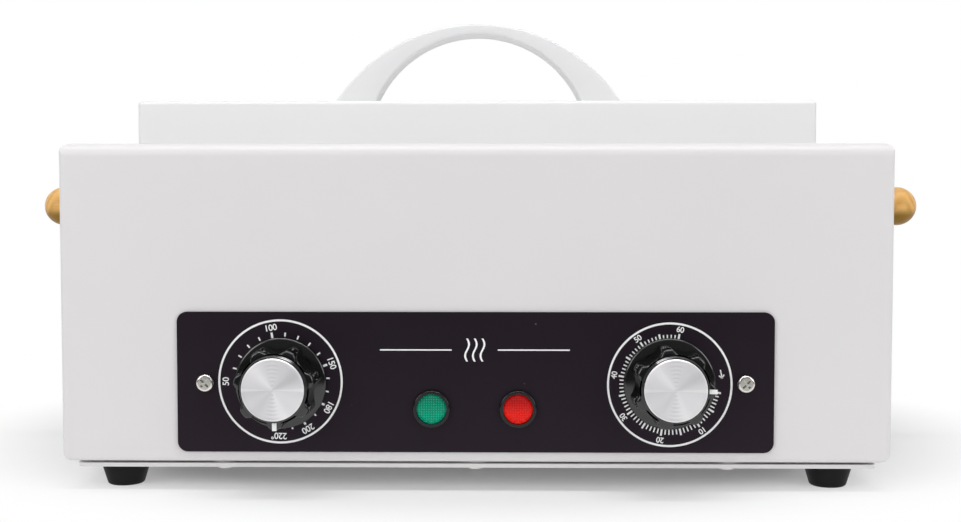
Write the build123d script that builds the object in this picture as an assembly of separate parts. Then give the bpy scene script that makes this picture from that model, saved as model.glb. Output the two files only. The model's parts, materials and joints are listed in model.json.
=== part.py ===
from build123d import *
import math
import os

# A dry heat sterilizer for small steel instruments: a white sheet metal case with a hinged lid,
# a heated steel chamber with a perforated tray, and a control panel with two dials and two lamps.
# Sizes are in millimetres and angles in degrees. X runs to the right, Y to the back and Z up.
# The origin is on the table, under the middle of the sterilizer's whole outline.

# Case and base
case_width = 325.0
case_depth = 170.0
case_sheet = 1.0
case_flange = 22.0
top_bend_radius = 5.0
side_bend_radius = 4.0
lower_corner_radius = 4.5
lower_fold_radius = 1.5
upright_edge_radius = 1.6
base_sheet = 1.5
base_side_inset = 5.5
base_front_inset = 0.8
base_corner_radius = 3.0
base_pad_height = 0.8
base_pad_radius = 6.0
base_screw_radius = 1.5
base_screw_spacing = 100.0
base_screw_inset = 9.0
vent_slot_length = 26.0
vent_slot_width = 3.5
vent_slot_pitch = 9.0
vent_slot_count = 9

# Feet
foot_height = 9.4
foot_top_radius = 9.9
foot_bottom_radius = 7.1
foot_edge_radius = 1.4
foot_side_inset = 20.9
foot_front_inset = 15.2
foot_recess_radius = 4.1
foot_floor = 4.6
foot_screw_radius = 2.0
foot_nut_height = 3.2

# Control panel
panel_side_inset = 46.0
panel_height = 55.0
panel_sheet = 1.0
panel_corner_radius = 4.0
panel_rise = 4.1
panel_screw_inset = 11.1
panel_screw_radius = 1.5
panel_screw_length = 9.0
panel_head_radius = 3.45
panel_head_height = 2.1
dial_inset = 40.8
dial_rise = 27.2
lamp_x = 16.9
lamp_rise = 17.1

# Knobs
knob_rim_radius = 17.9
knob_rim_height = 1.7
knob_grip_radius = 16.2
knob_grip_height = 17.6
knob_valley_radius = 13.4
knob_flute_radius = 7.5
knob_flute_count = 7
knob_grip_taper = 0.7
knob_edge_radius = 0.8
knob_cavity_radius = 11.4
knob_collar_radius = 12.6
knob_collar_height = 19.4
knob_cap_radius = 11.9
knob_cap_height = 20.0
knob_cap_sheet = 1.0
knob_panel_gap = 0.5
pointer_width = 1.7
pointer_depth = 0.3
pointer_length = 3.6
shaft_radius = 3.0
shaft_length = 15.6
shaft_flat_depth = 0.9
running_clearance = 0.05
temperature_rest_angle = -89.0
timer_rest_angle = -2.4

# Temperature control and timer behind the panel
bushing_radius = 5.0
bushing_length = 7.0
bushing_clearance = 0.15
bushing_nut_flats = 14.0
bushing_nut_height = 2.8
thermostat_width = 38.0
thermostat_height = 36.0
thermostat_depth = 24.0
timer_radius = 21.0
timer_depth = 30.0
timer_bell_radius = 14.0
timer_bell_depth = 6.0
blade_width = 6.3
blade_thickness = 0.8
blade_length = 9.0

# Indicator lamps
bezel_radius = 7.3
bezel_height = 1.8
bezel_bore_radius = 5.95
barrel_radius = 6.2
barrel_wall = 0.9
barrel_length = 17.0
lens_radius = 5.75
lens_recess = 0.5
lens_thickness = 2.0
lens_stem_radius = 4.9
lens_stem_length = 6.0
lamp_holder_radius = 5.1
lamp_holder_length = 12.0
lamp_clip_radius = 8.5
lamp_clip_thickness = 1.2
seat_clearance = 0.1

# Lid
lid_side_overhang = 7.0
lid_front_overhang = 4.5
lid_rise = 18.2
lid_gap = 0.4
lid_sheet = 1.0
lid_edge_radius = 1.7
pan_sheet = 0.6
pan_rim_height = 6.6
pan_plug_margin = 7.0
pan_plug_depth = 3.0
pan_corner_radius = 8.0
pan_flange_gap = 0.4
pan_wall_gap = 0.1
lid_insulation_gap = 0.5

# Lid handle
handle_rise = 38.0
handle_outer_radius = 76.0
handle_apex_thickness = 4.7
handle_inner_radius = 50.0
handle_depth = 17.0
handle_edge_radius = 0.9
handle_screw_radius = 2.0
handle_screw_length = 11.0
handle_screw_head_radius = 3.8
handle_screw_head_height = 2.4

# Hinges
hinge_inset = 53.0
hinge_width = 30.0
hinge_leaf_sheet = 1.3
hinge_offset = 3.0
hinge_knuckle_gap = 0.3
hinge_knuckle_length = 13.4
hinge_pin_radius = 1.4
hinge_pin_head_radius = 2.1
hinge_pin_head_height = 0.7
hinge_leaf_length = 16.0
hinge_lid_leaf_height = 12.0
hinge_fastener_x = 10.0
hinge_fastener_radius = 1.5
hinge_head_radius = 2.8
hinge_head_height = 0.8

# Chamber
chamber_side_room = 40.5
chamber_front_room = 38.0
tank_depth = 56.5
tank_sheet = 0.8
tank_corner_radius = 10.0
tank_bottom_radius = 5.0
tank_flange_width = 9.0
tank_opening_clearance = 1.0
side_insulation_thickness = 10.0
side_insulation_rise = 3.0
side_insulation_gap = 0.5

# Heating element under the chamber
element_radius = 3.25
element_end_margin = 22.0
element_side_margin = 14.0
element_bend_clearance = 2.0
element_drop = 22.0
element_gap = 0.05
clamp_width = 12.0
clamp_sheet = 1.2
clamp_x = 30.0
bottom_insulation_thickness = 5.8
shield_sheet = 0.8
shield_clearance = 1.2
shield_wall = 10.0
shield_drop = 14.0
shield_side_margin = 2.0
stud_radius = 2.0
stud_inset = 10.0
stud_nut_radius = 3.6
stud_nut_height = 2.4
bulb_radius = 3.0
bulb_length = 80.0
capillary_radius = 0.8
capillary_bend_radius = 6.0
pass_hole_radius = 5.0

# Tray
tray_end_clearance = 9.0
tray_side_clearance = 6.0
tray_height = 25.0
tray_sheet = 0.8
tray_corner_radius = 6.0
tray_hole_radius = 3.5
tray_hole_pitch = 20.0
tray_hole_margin = 10.5
tray_wire_radius = 1.5
tray_wire_width = 40.0
tray_wire_rise = 17.0
tray_wire_root = 9.0
tray_wire_bend_radius = 5.0

# Side carrying knobs
side_knob_reach = 35.0
side_knob_ball_radius = 8.6
side_knob_neck_radius = 4.4
side_knob_base_radius = 6.6
side_knob_base_length = 2.5
side_knob_drop = 24.9
side_screw_radius = 2.0
side_screw_length = 16.0
side_screw_head_radius = 5.0
side_screw_head_height = 3.0

# Cord inlet
gland_side_inset = 52.5
gland_rise = 24.0
gland_flats = 15.0
gland_hex_length = 4.0
gland_dome_radius = 6.6
gland_reach = 10.0
gland_bore_radius = 3.4
gland_thread_radius = 6.0
gland_thread_length = 9.0
gland_nut_flats = 17.0
gland_nut_height = 3.5

# Terminal block and wires
block_length = 36.0
block_width = 18.0
block_height = 14.0
block_pocket_depth = 5.0
block_ways = 3
wire_radius = 1.1
wire_bend_radius = 6.0
wire_slack = 18.0

# Screw heads: shares of the head's radius, and of its height
recess_length_share = 1.15
recess_width_share = 0.26
recess_depth_share = 0.7
head_rounding_share = 0.45

# Lengths that follow from the sizes above
panel_width = case_width - 2 * panel_side_inset
tank_length = case_width - 2 * chamber_side_room
tank_width = case_depth - 2 * chamber_front_room
lid_width = tank_length + 2 * (tank_flange_width + lid_side_overhang)
lid_depth = tank_width + 2 * (tank_flange_width + lid_front_overhang)
tray_length = tank_length - 2 * tray_end_clearance
tray_width = tank_width - 2 * tray_side_clearance
element_half_length = tank_length / 2 - element_end_margin
element_run_pitch = (tank_width - 2 * element_side_margin) / 3
element_bend_radius = element_run_pitch / 2 - element_bend_clearance
control_height = max(thermostat_height / 2, timer_radius) + shield_clearance + shield_sheet
case_height = panel_rise + dial_rise + control_height + shield_drop + tank_depth

# Heights and places that follow from the sizes above
base_bottom_z = foot_height
base_top_z = base_bottom_z + base_sheet
case_bottom_z = base_top_z + base_pad_height
case_top_z = case_bottom_z + case_height
lid_bottom_z = case_top_z + lid_gap
lid_top_z = case_top_z + lid_rise
panel_bottom_z = case_bottom_z + panel_rise
dial_x = panel_width / 2 - dial_inset
panel_screw_x = panel_width / 2 - panel_screw_inset
dial_z = panel_bottom_z + dial_rise
lamp_z = panel_bottom_z + lamp_rise
side_knob_z = case_top_z - side_knob_drop
gland_x = case_width / 2 - gland_side_inset
gland_z = case_bottom_z + gland_rise
hinge_x = lid_width / 2 - hinge_inset
hinge_axis_z = case_top_z + hinge_offset
tank_bottom_z = case_top_z - tank_depth
tank_flange_top_z = case_top_z + tank_sheet
pan_z = tank_flange_top_z + pan_flange_gap
element_z = tank_bottom_z - element_gap - element_radius
shield_top_z = tank_bottom_z - shield_drop
knob_reach = panel_sheet + knob_cap_height
case_front_y = (knob_reach - gland_reach - case_depth) / 2
case_rear_y = case_front_y + case_depth
case_mid_y = (case_front_y + case_rear_y) / 2
panel_face_y = case_front_y - panel_sheet
lid_rear_y = case_mid_y + lid_depth / 2
hinge_axis_y = lid_rear_y + hinge_offset
foot_x = case_width / 2 - foot_side_inset
foot_y = case_depth / 2 - foot_front_inset
base_screw_y = case_depth / 2 - base_screw_inset
wall_stack = panel_sheet + case_sheet
knuckle_radius = hinge_offset - hinge_knuckle_gap
knuckle_bore_radius = hinge_pin_radius + running_clearance
stud_x = tank_length / 2 - stud_inset
stud_y = tank_width / 2 - stud_inset


def block(x_range, y_range, z_range):
    """A plain box between three pairs of limits."""
    size = [high - low for low, high in (x_range, y_range, z_range)]
    centre = [(high + low) / 2 for low, high in (x_range, y_range, z_range)]
    return Pos(*centre) * Box(*size)


def rod(start, end, radius):
    """A straight round bar from one point to another."""
    start, end = Vector(*start), Vector(*end)
    plane = Plane(origin=start, z_dir=end - start)
    return extrude(plane * Circle(radius), amount=(end - start).length)


def rounded_slab(length, width, corner_radius, low_z, high_z, centre_y=0.0):
    """A flat slab with rounded upright corners, centred on X."""
    outline = Pos(0, centre_y, low_z) * RectangleRounded(length, width, corner_radius)
    return extrude(outline, amount=high_z - low_z)


def hexagon(flats, low, high, bore_radius):
    """A hexagon nut on the Z axis, with its edges broken on both faces."""
    prism = extrude(Pos(0, 0, low) * RegularPolygon(flats / 2, 6, major_radius=False), amount=high - low)
    corner_radius = flats / 2 / math.cos(math.radians(30))
    turned_blank = Pos(0, 0, (low + high) / 2) * Cylinder(corner_radius, high - low)
    turned_blank = chamfer(turned_blank.edges().filter_by(GeomType.CIRCLE), (corner_radius - flats / 2) * 0.8)
    return (prism & turned_blank) - Pos(0, 0, (low + high) / 2) * Cylinder(bore_radius, high - low)


def pan_head_screw(shank_radius, length, head_radius, head_height, recess=True):
    """A cross recess screw on the Z axis: its head stands above z = 0 and its shank points down."""
    head = Pos(0, 0, head_height / 2) * Cylinder(head_radius, head_height)
    head = fillet(head.edges().filter_by(GeomType.CIRCLE).group_by(Axis.Z)[-1], head_height * head_rounding_share)
    screw = head + Pos(0, 0, -length / 2) * Cylinder(shank_radius, length)
    if recess:
        slot_length = head_radius * recess_length_share
        slot_width = head_radius * recess_width_share
        slot_depth = head_height * recess_depth_share
        for angle in (45, 135):
            slot = Rot(0, 0, angle) * Box(slot_length, slot_width, slot_depth)
            screw -= Pos(0, 0, head_height - slot_depth / 2) * slot
    return screw


def facing_front(shape, x, y, z):
    """Turn a shape made on the Z axis so that it faces the viewer, and put it in place."""
    return Pos(x, y, z) * Rot(90, 0, 0) * shape


def facing_down(shape, x, y, z):
    """Turn a shape made on the Z axis upside down, and put it in place."""
    return Pos(x, y, z) * Rot(180, 0, 0) * shape


def group(solids):
    """Like pieces that share one node, each a separate solid."""
    return Compound(children=list(solids))


def bent_tube(points, bend_radius, radius):
    """A round bar or wire along straight runs that are joined by tangent arcs."""
    path = FilletPolyline(*points, radius=bend_radius)
    return sweep((path ^ 0) * Circle(radius), path=path)


# Case


def case_block(inset):
    """The case's outline, set in by a wall: rounded as seen from the front, the side and above."""
    width, depth, height = case_width - 2 * inset, case_depth - 2 * inset, case_height - 2 * inset
    front = Rectangle(width, height)
    front = fillet(front.vertices().group_by(Axis.Y)[-1], side_bend_radius - inset)
    front = fillet(front.vertices().group_by(Axis.Y)[0], lower_corner_radius - inset)
    side = Rectangle(depth, height)
    side = fillet(side.vertices().group_by(Axis.Y)[-1], top_bend_radius - inset)
    side = fillet(side.vertices().group_by(Axis.Y)[0], lower_fold_radius - inset)
    plan = RectangleRounded(width, depth, upright_edge_radius - inset)
    shape = extrude(Plane.XZ * front, amount=depth / 2, both=True)
    shape &= extrude(Plane.YZ * side, amount=width / 2, both=True)
    shape &= extrude(plan, amount=height / 2, both=True)
    return Pos(0, case_mid_y, case_bottom_z + case_height / 2) * shape


def make_outer_case():
    """The case: four walls and a top of folded sheet, with a flange turned in along the bottom."""
    case = case_block(0) - case_block(case_sheet)
    inner_width, inner_depth = case_width - 2 * case_flange, case_depth - 2 * case_flange
    case -= rounded_slab(inner_width, inner_depth, base_corner_radius,
                         case_bottom_z - 1, case_bottom_z + case_sheet + 1, case_mid_y)
    opening = 2 * tank_opening_clearance
    case -= rounded_slab(tank_length + opening, tank_width + opening, tank_corner_radius + opening / 2,
                         case_top_z - case_sheet - 1, case_top_z + 1, case_mid_y)
    front_hole = (case_front_y - 1, case_front_y + case_sheet + 1)
    for x in (-dial_x, dial_x):
        case -= rod((x, front_hole[0], dial_z), (x, front_hole[1], dial_z), bushing_radius + bushing_clearance)
    for x in (-lamp_x, lamp_x):
        case -= rod((x, front_hole[0], lamp_z), (x, front_hole[1], lamp_z), barrel_radius + seat_clearance)
    for x in (-panel_screw_x, panel_screw_x):
        case -= rod((x, front_hole[0], dial_z), (x, front_hole[1], dial_z), panel_screw_radius)
    rear_hole = (case_rear_y - case_sheet - 1, case_rear_y + 1)
    case -= rod((gland_x, rear_hole[0], gland_z), (gland_x, rear_hole[1], gland_z),
                gland_thread_radius + seat_clearance)
    reach = case_width / 2 + 1
    case -= rod((-reach, case_mid_y, side_knob_z), (reach, case_mid_y, side_knob_z),
                side_screw_radius + seat_clearance)
    for x, y in foot_places():
        case -= rod((x, y, case_bottom_z - 1), (x, y, case_bottom_z + case_sheet + 1),
                    foot_screw_radius + seat_clearance)
    for x, y in base_screw_places():
        case -= rod((x, y, case_bottom_z - 1), (x, y, case_bottom_z + case_sheet + 1), base_screw_radius)
    for x, y in hinge_screw_places():
        case -= rod((x, y, case_top_z - case_sheet - 1), (x, y, case_top_z + 1), hinge_fastener_radius)
    return group((case & region).solid() for region in case_sheet_regions())


def case_sheet_regions():
    """The case is welded from five folded sheets that meet edge to edge: top, front, rear and two sides."""
    half, low_z, high_z = case_width / 2 + 1, case_bottom_z - 1, case_top_z + 1
    fold_z = case_top_z - top_bend_radius
    front_y, rear_y = case_front_y + case_flange, case_rear_y - case_flange
    return [
        block((-half, half), (case_front_y - 1, case_rear_y + 1), (fold_z, high_z)),
        block((-half, half), (case_front_y - 1, front_y), (low_z, fold_z)),
        block((-half, half), (rear_y, case_rear_y + 1), (low_z, fold_z)),
        block((-half, 0), (front_y, rear_y), (low_z, fold_z)),
        block((0, half), (front_y, rear_y), (low_z, fold_z)),
    ]


def foot_places():
    """The four corners of the base where a foot is screwed on: front left first."""
    return [(x, case_mid_y + y) for y in (-foot_y, foot_y) for x in (-foot_x, foot_x)]


def base_screw_places():
    """Three screws along the front edge of the base and three along the rear."""
    columns = (-base_screw_spacing, 0, base_screw_spacing)
    return [(x, case_mid_y + y) for y in (-base_screw_y, base_screw_y) for x in columns]


def make_base_plate():
    """The bottom cover: a flat plate with stamped pads at its screws and two rows of vent slots."""
    width = case_width - 2 * base_side_inset
    depth = case_depth - 2 * base_front_inset
    plate = rounded_slab(width, depth, base_corner_radius, base_bottom_z, base_top_z, case_mid_y)
    for x, y in foot_places() + base_screw_places():
        plate += rod((x, y, base_top_z), (x, y, case_bottom_z), base_pad_radius)
    for x, y in foot_places():
        plate -= rod((x, y, base_bottom_z - 1), (x, y, case_bottom_z + 1), foot_screw_radius + seat_clearance)
    for x, y in base_screw_places():
        plate -= rod((x, y, base_bottom_z - 1), (x, y, case_bottom_z + 1), base_screw_radius + seat_clearance)
    slot = Pos(0, 0, base_bottom_z - 1) * SlotOverall(vent_slot_length, vent_slot_width, rotation=90)
    cutter = extrude(slot, amount=base_sheet + 2)
    for row_y in (-vent_slot_length, vent_slot_length):
        for index in range(vent_slot_count):
            x = (index - (vent_slot_count - 1) / 2) * vent_slot_pitch
            plate -= Pos(x, case_mid_y + row_y, 0) * cutter
    return plate


def make_base_plate_screws():
    """Self-tapping screws that go up through the base plate into the case's bottom flange."""
    screw = pan_head_screw(base_screw_radius, base_sheet + base_pad_height + case_sheet + 4,
                           base_screw_radius * 2, base_screw_radius * 1.2)
    return group(facing_down(screw, x, y, base_bottom_z) for x, y in base_screw_places())


def make_foot(x, y):
    """A tapered rubber foot, moulded with a deep recess for its screw's head."""
    profile = Polyline((0, 0), (foot_bottom_radius, 0), (foot_top_radius, foot_height), (0, foot_height), close=True)
    foot = revolve(Plane.XZ * make_face(profile), Axis.Z)
    lower_rim = foot.edges().filter_by(GeomType.CIRCLE).group_by(Axis.Z)[0]
    foot = fillet(lower_rim, foot_edge_radius)
    foot -= rod((0, 0, -1), (0, 0, foot_floor), foot_recess_radius)
    foot -= rod((0, 0, 0), (0, 0, foot_height + 1), foot_screw_radius + seat_clearance)
    return Pos(x, y, 0) * foot


def make_foot_screws():
    """Machine screws that hold the feet and clamp the base plate to the case."""
    nut_top_z = case_bottom_z + case_sheet + foot_nut_height
    screw = pan_head_screw(foot_screw_radius, nut_top_z - foot_floor + 1.5,
                           foot_screw_radius * 1.9, foot_screw_radius * 1.2)
    return group(facing_down(screw, x, y, foot_floor) for x, y in foot_places())


def make_foot_nuts():
    low_z = case_bottom_z + case_sheet
    nut = hexagon(foot_screw_radius * 3.5, low_z, low_z + foot_nut_height, foot_screw_radius)
    return group(Pos(x, y, 0) * nut for x, y in foot_places())


# Control panel


def make_control_panel():
    """The black panel plate, with holes for the two bushings, the two lamps and its screws."""
    outline = RectangleRounded(panel_width, panel_height, panel_corner_radius)
    panel = facing_front(extrude(outline, amount=panel_sheet), 0, case_front_y, panel_bottom_z + panel_height / 2)
    through = (panel_face_y - 1, case_front_y + 1)
    for x in (-dial_x, dial_x):
        panel -= rod((x, through[0], dial_z), (x, through[1], dial_z), bushing_radius + bushing_clearance)
    for x in (-lamp_x, lamp_x):
        panel -= rod((x, through[0], lamp_z), (x, through[1], lamp_z), barrel_radius + seat_clearance)
    for x in (-panel_screw_x, panel_screw_x):
        panel -= rod((x, through[0], dial_z), (x, through[1], dial_z), panel_screw_radius + seat_clearance)
    return panel


def make_panel_screws():
    screw = pan_head_screw(panel_screw_radius, panel_screw_length, panel_head_radius, panel_head_height)
    return group(facing_front(screw, x, panel_face_y, dial_z) for x in (-panel_screw_x, panel_screw_x))


# Knobs, made on the Z axis with the panel's face at z = 0 and the pointer towards +X


def fluted_outline():
    """The grip's outline: a circle with round flutes, and a lobe under the pointer."""
    outline = Circle(knob_grip_radius)
    flute_centre = knob_valley_radius + knob_flute_radius
    for index in range(knob_flute_count):
        angle = (index + 0.5) * 360 / knob_flute_count
        outline -= Rot(0, 0, angle) * Pos(flute_centre, 0) * Circle(knob_flute_radius)
    return fillet(outline.vertices(), knob_edge_radius)


def make_knob(angle, x):
    """A moulded knob: a thin rim, a fluted grip with a hollow back, and a D-shaped bore."""
    rim = Pos(0, 0, knob_panel_gap + knob_rim_height / 2) * Cylinder(knob_rim_radius, knob_rim_height)
    rim = fillet(rim.edges().filter_by(GeomType.CIRCLE).group_by(Axis.Z)[-1], knob_rim_height * 0.4)
    grip_bottom = knob_panel_gap + knob_rim_height / 2
    outline = fluted_outline()
    top_outline = scale(outline, by=1 - knob_grip_taper / knob_grip_radius)
    grip = loft([Pos(0, 0, grip_bottom) * outline, Pos(0, 0, knob_grip_height) * top_outline])
    grip = chamfer(grip.faces().sort_by(Axis.Z)[-1].edges(), knob_edge_radius / 2)
    knob = rim + grip + Pos(0, 0, knob_collar_height / 2) * Cylinder(knob_collar_radius, knob_collar_height)
    cap_seat_z = knob_cap_height - knob_cap_sheet
    knob -= rod((0, 0, cap_seat_z), (0, 0, knob_cap_height + 1), knob_cap_radius + seat_clearance)
    cavity_top = bushing_length + 3 * running_clearance + knob_panel_gap
    knob -= rod((0, 0, -1), (0, 0, cavity_top), knob_cavity_radius)
    knob -= shaft_end(shaft_radius + running_clearance / 2, cavity_top - 1, shaft_length + knob_panel_gap)
    pointer_centre = knob_collar_radius + pointer_length / 2
    knob -= Pos(pointer_centre, 0, knob_grip_height) * Box(pointer_length, pointer_width, 2 * pointer_depth)
    return facing_front(Rot(0, 0, angle) * knob, x, panel_face_y, dial_z)


def shaft_end(radius, low_z, high_z):
    """The D-shaped end of a shaft, or of the bore that takes it."""
    end = rod((0, 0, low_z), (0, 0, high_z), radius)
    flat = radius - shaft_flat_depth
    return end - block((flat, radius + 1), (-radius, radius), (low_z, high_z))


def make_knob_cap(x):
    """The spun aluminium disc in the knob's face."""
    cap_seat_z = knob_cap_height - knob_cap_sheet
    cap = rod((0, 0, cap_seat_z), (0, 0, knob_cap_height), knob_cap_radius)
    cap = chamfer(cap.edges().filter_by(GeomType.CIRCLE).group_by(Axis.Z)[-1], knob_cap_sheet * 0.35)
    return facing_front(cap, x, panel_face_y, dial_z)


def make_shaft(angle, x):
    """A control shaft: round in its bushing, with a flat where the knob is pushed on."""
    flat_from = bushing_length + running_clearance
    shaft = rod((0, 0, -wall_stack - thermostat_depth / 3), (0, 0, flat_from), shaft_radius)
    shaft += shaft_end(shaft_radius, flat_from, shaft_length)
    return facing_front(Rot(0, 0, angle) * shaft, x, panel_face_y, dial_z)


def add_bushing(body):
    """Give a control body its threaded bushing and the bore for its shaft."""
    body += rod((0, 0, -wall_stack), (0, 0, bushing_length), bushing_radius)
    bore_bottom = -wall_stack - thermostat_depth / 3 - 2 * seat_clearance
    return body - rod((0, 0, bore_bottom), (0, 0, bushing_length + 1), shaft_radius + running_clearance)


def make_bushing_nut(x):
    nut = hexagon(bushing_nut_flats, 0, bushing_nut_height, bushing_radius + seat_clearance / 2)
    return facing_front(nut, x, panel_face_y, dial_z)


def blade(x, y, back_z):
    """A push-on terminal blade that points to the back."""
    return block((x - blade_width / 2, x + blade_width / 2), (y - blade_thickness / 2, y + blade_thickness / 2),
                 (back_z - blade_length, back_z))


def make_thermostat_body():
    """The capillary temperature control: a square ceramic body with three terminal blades."""
    back_z = -wall_stack - thermostat_depth
    outline = RectangleRounded(thermostat_width, thermostat_height, thermostat_depth / 6)
    body = extrude(Pos(0, 0, back_z) * outline, amount=thermostat_depth)
    for x in (-thermostat_width / 3, 0, thermostat_width / 3):
        body += blade(x, -thermostat_height / 4, back_z)
    return facing_front(add_bushing(body), -dial_x, panel_face_y, dial_z)


def make_timer_body():
    """The wind-up timer: a round movement case with its bell on the back and two blades."""
    back_z = -wall_stack - timer_depth
    body = rod((0, 0, back_z), (0, 0, -wall_stack), timer_radius)
    body = fillet(body.edges().filter_by(GeomType.CIRCLE).group_by(Axis.Z)[0], timer_bell_depth / 3)
    bell = rod((0, 0, back_z - timer_bell_depth), (0, 0, back_z), timer_bell_radius)
    body += fillet(bell.edges().filter_by(GeomType.CIRCLE).group_by(Axis.Z)[0], timer_bell_depth * 0.8)
    for x in (-timer_bell_radius / 2, timer_bell_radius / 2):
        body += blade(x, -(timer_radius + timer_bell_radius) / 2, back_z)
    return facing_front(add_bushing(body), dial_x, panel_face_y, dial_z)


# Indicator lamps, made on the Z axis with the panel's face at z = 0


def make_lamp_bezel(x):
    """The black bezel and its barrel, moulded as one tube that goes through the panel."""
    bezel = rod((0, 0, 0), (0, 0, bezel_height), bezel_radius)
    bezel = fillet(bezel.edges().filter_by(GeomType.CIRCLE).group_by(Axis.Z)[-1], bezel_height * 0.3)
    bezel += rod((0, 0, -barrel_length), (0, 0, 0), barrel_radius)
    seat_z = bezel_height - lens_recess - lens_thickness
    bezel -= rod((0, 0, seat_z), (0, 0, bezel_height + 1), bezel_bore_radius)
    bezel -= rod((0, 0, -barrel_length - 1), (0, 0, seat_z), barrel_radius - barrel_wall)
    return facing_front(bezel, x, panel_face_y, lamp_z)


def make_lamp_lens(x):
    """The moulded lens: a low crowned disc with a hollow stem that slides into the barrel."""
    face_z = bezel_height - lens_recess
    seat_z = face_z - lens_thickness
    lens = rod((0, 0, seat_z), (0, 0, face_z), lens_radius)
    lens = chamfer(lens.edges().filter_by(GeomType.CIRCLE).group_by(Axis.Z)[-1], lens_recess)
    lens += rod((0, 0, seat_z - lens_stem_length), (0, 0, seat_z), lens_stem_radius)
    lens -= rod((0, 0, seat_z - lens_stem_length - 1), (0, 0, seat_z), lens_stem_radius - 1)
    return facing_front(lens, x, panel_face_y, lamp_z)


def make_lamp_holder(x):
    """The bulb holder that closes the back of the barrel, with its two terminal blades."""
    seat_z = bezel_height - lens_recess - lens_thickness
    front_z = seat_z - lens_stem_length - seat_clearance
    holder = rod((0, 0, front_z - lamp_holder_length), (0, 0, front_z), lamp_holder_radius)
    for side in (-1, 1):
        holder += blade(0, side * lamp_holder_radius / 2, front_z - lamp_holder_length)
    return facing_front(holder, x, panel_face_y, lamp_z)


def make_lamp_clips():
    """Push-on spring washers that hold each barrel against the back of the case's front wall."""
    clip = rod((0, 0, -wall_stack - lamp_clip_thickness), (0, 0, -wall_stack), lamp_clip_radius)
    clip -= rod((0, 0, -wall_stack - lamp_clip_thickness - 1), (0, 0, 0), barrel_radius + seat_clearance / 2)
    return group(facing_front(clip, x, panel_face_y, lamp_z) for x in (-lamp_x, lamp_x))


# Lid


def make_lid_shell():
    """The lid's outer shell: a shallow drawn cover, open below."""
    lid = Pos(0, case_mid_y, (lid_bottom_z + lid_top_z) / 2) * Box(lid_width, lid_depth, lid_top_z - lid_bottom_z)
    upper = lid.edges().filter_by(Axis.Z) + lid.edges().group_by(Axis.Z)[-1]
    lid = fillet(upper, lid_edge_radius)
    inner_width, inner_depth = lid_width - 2 * lid_sheet, lid_depth - 2 * lid_sheet
    lid -= rounded_slab(inner_width, inner_depth, lid_edge_radius - lid_sheet / 2,
                        lid_bottom_z - 1, lid_top_z - lid_sheet, case_mid_y)
    for x in handle_screw_places():
        lid -= rod((x, case_mid_y, lid_top_z - lid_sheet - 1), (x, case_mid_y, lid_top_z + 1),
                   handle_screw_radius + seat_clearance)
    for x, z in hinge_rivet_places():
        lid -= rod((x, lid_rear_y - lid_sheet - 1, z), (x, lid_rear_y + 1, z), hinge_fastener_radius)
    return lid


def make_lid_inner_pan():
    """The lid's steel liner: a tray whose raised middle plugs the chamber's mouth."""
    length = lid_width - 2 * lid_sheet - 2 * pan_wall_gap
    width = lid_depth - 2 * lid_sheet - 2 * pan_wall_gap
    rim_radius = lid_edge_radius - lid_sheet / 2
    pan = rounded_slab(length, width, rim_radius, pan_z, pan_z + pan_rim_height, case_mid_y)
    pan -= rounded_slab(length - 2 * pan_sheet, width - 2 * pan_sheet, rim_radius - pan_sheet / 2,
                        pan_z + pan_sheet, pan_z + pan_rim_height + 1, case_mid_y)
    plug_length = tank_length - 2 * pan_plug_margin
    plug_width = tank_width - 2 * pan_plug_margin
    pan += rounded_slab(plug_length, plug_width, pan_corner_radius, pan_z - pan_plug_depth, pan_z, case_mid_y)
    pan -= rounded_slab(plug_length - 2 * pan_sheet, plug_width - 2 * pan_sheet, pan_corner_radius - pan_sheet,
                        pan_z - pan_plug_depth + pan_sheet, pan_z + pan_sheet + 1, case_mid_y)
    return pan


def make_lid_insulation():
    """The mineral wool pad sealed between the shell and the liner."""
    inset = 2 * (lid_sheet + pan_wall_gap + pan_sheet + lid_insulation_gap + hinge_head_height)
    low_z = pan_z + pan_sheet + lid_insulation_gap
    high_z = lid_top_z - lid_sheet - lid_insulation_gap
    pad = rounded_slab(lid_width - inset, lid_depth - inset, pan_corner_radius, low_z, high_z, case_mid_y)
    pocket_radius = handle_screw_head_radius + lid_insulation_gap
    pocket_z = lid_top_z - lid_sheet - handle_screw_head_height - lid_insulation_gap
    for x in handle_screw_places():
        pad -= rod((x, case_mid_y, pocket_z), (x, case_mid_y, high_z + 1), pocket_radius)
    return pad


def handle_screw_places():
    """The middle of each of the handle's feet, between its two arcs, half way up the screws."""
    height = handle_screw_length / 2
    outer_drop = handle_rise - height
    inner_drop = outer_drop - handle_apex_thickness
    outer_x = math.sqrt(handle_outer_radius ** 2 - (handle_outer_radius - outer_drop) ** 2)
    inner_x = math.sqrt(handle_inner_radius ** 2 - (handle_inner_radius - inner_drop) ** 2)
    middle = (outer_x + inner_x) / 2
    return (-middle, middle)


def make_lid_handle():
    """The moulded arch: thin over the hand and wide at its two feet."""
    apex_z = lid_top_z + handle_rise
    outer_centre_z = apex_z - handle_outer_radius
    inner_centre_z = apex_z - handle_apex_thickness - handle_inner_radius
    arch = Pos(0, outer_centre_z) * Circle(handle_outer_radius)
    arch -= Pos(0, inner_centre_z) * Circle(handle_inner_radius)
    arch &= Pos(0, lid_top_z + handle_outer_radius / 2) * Rectangle(2 * handle_outer_radius, handle_outer_radius)
    handle = extrude(Plane.XZ * arch, amount=handle_depth / 2, both=True)
    rounded = handle.edges().filter_by(GeomType.CIRCLE)
    handle = Pos(0, case_mid_y, 0) * fillet(rounded, handle_edge_radius)
    for x in handle_screw_places():
        handle -= rod((x, case_mid_y, lid_top_z - 1), (x, case_mid_y, lid_top_z + handle_screw_length),
                      handle_screw_radius + running_clearance)
    return handle


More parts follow.
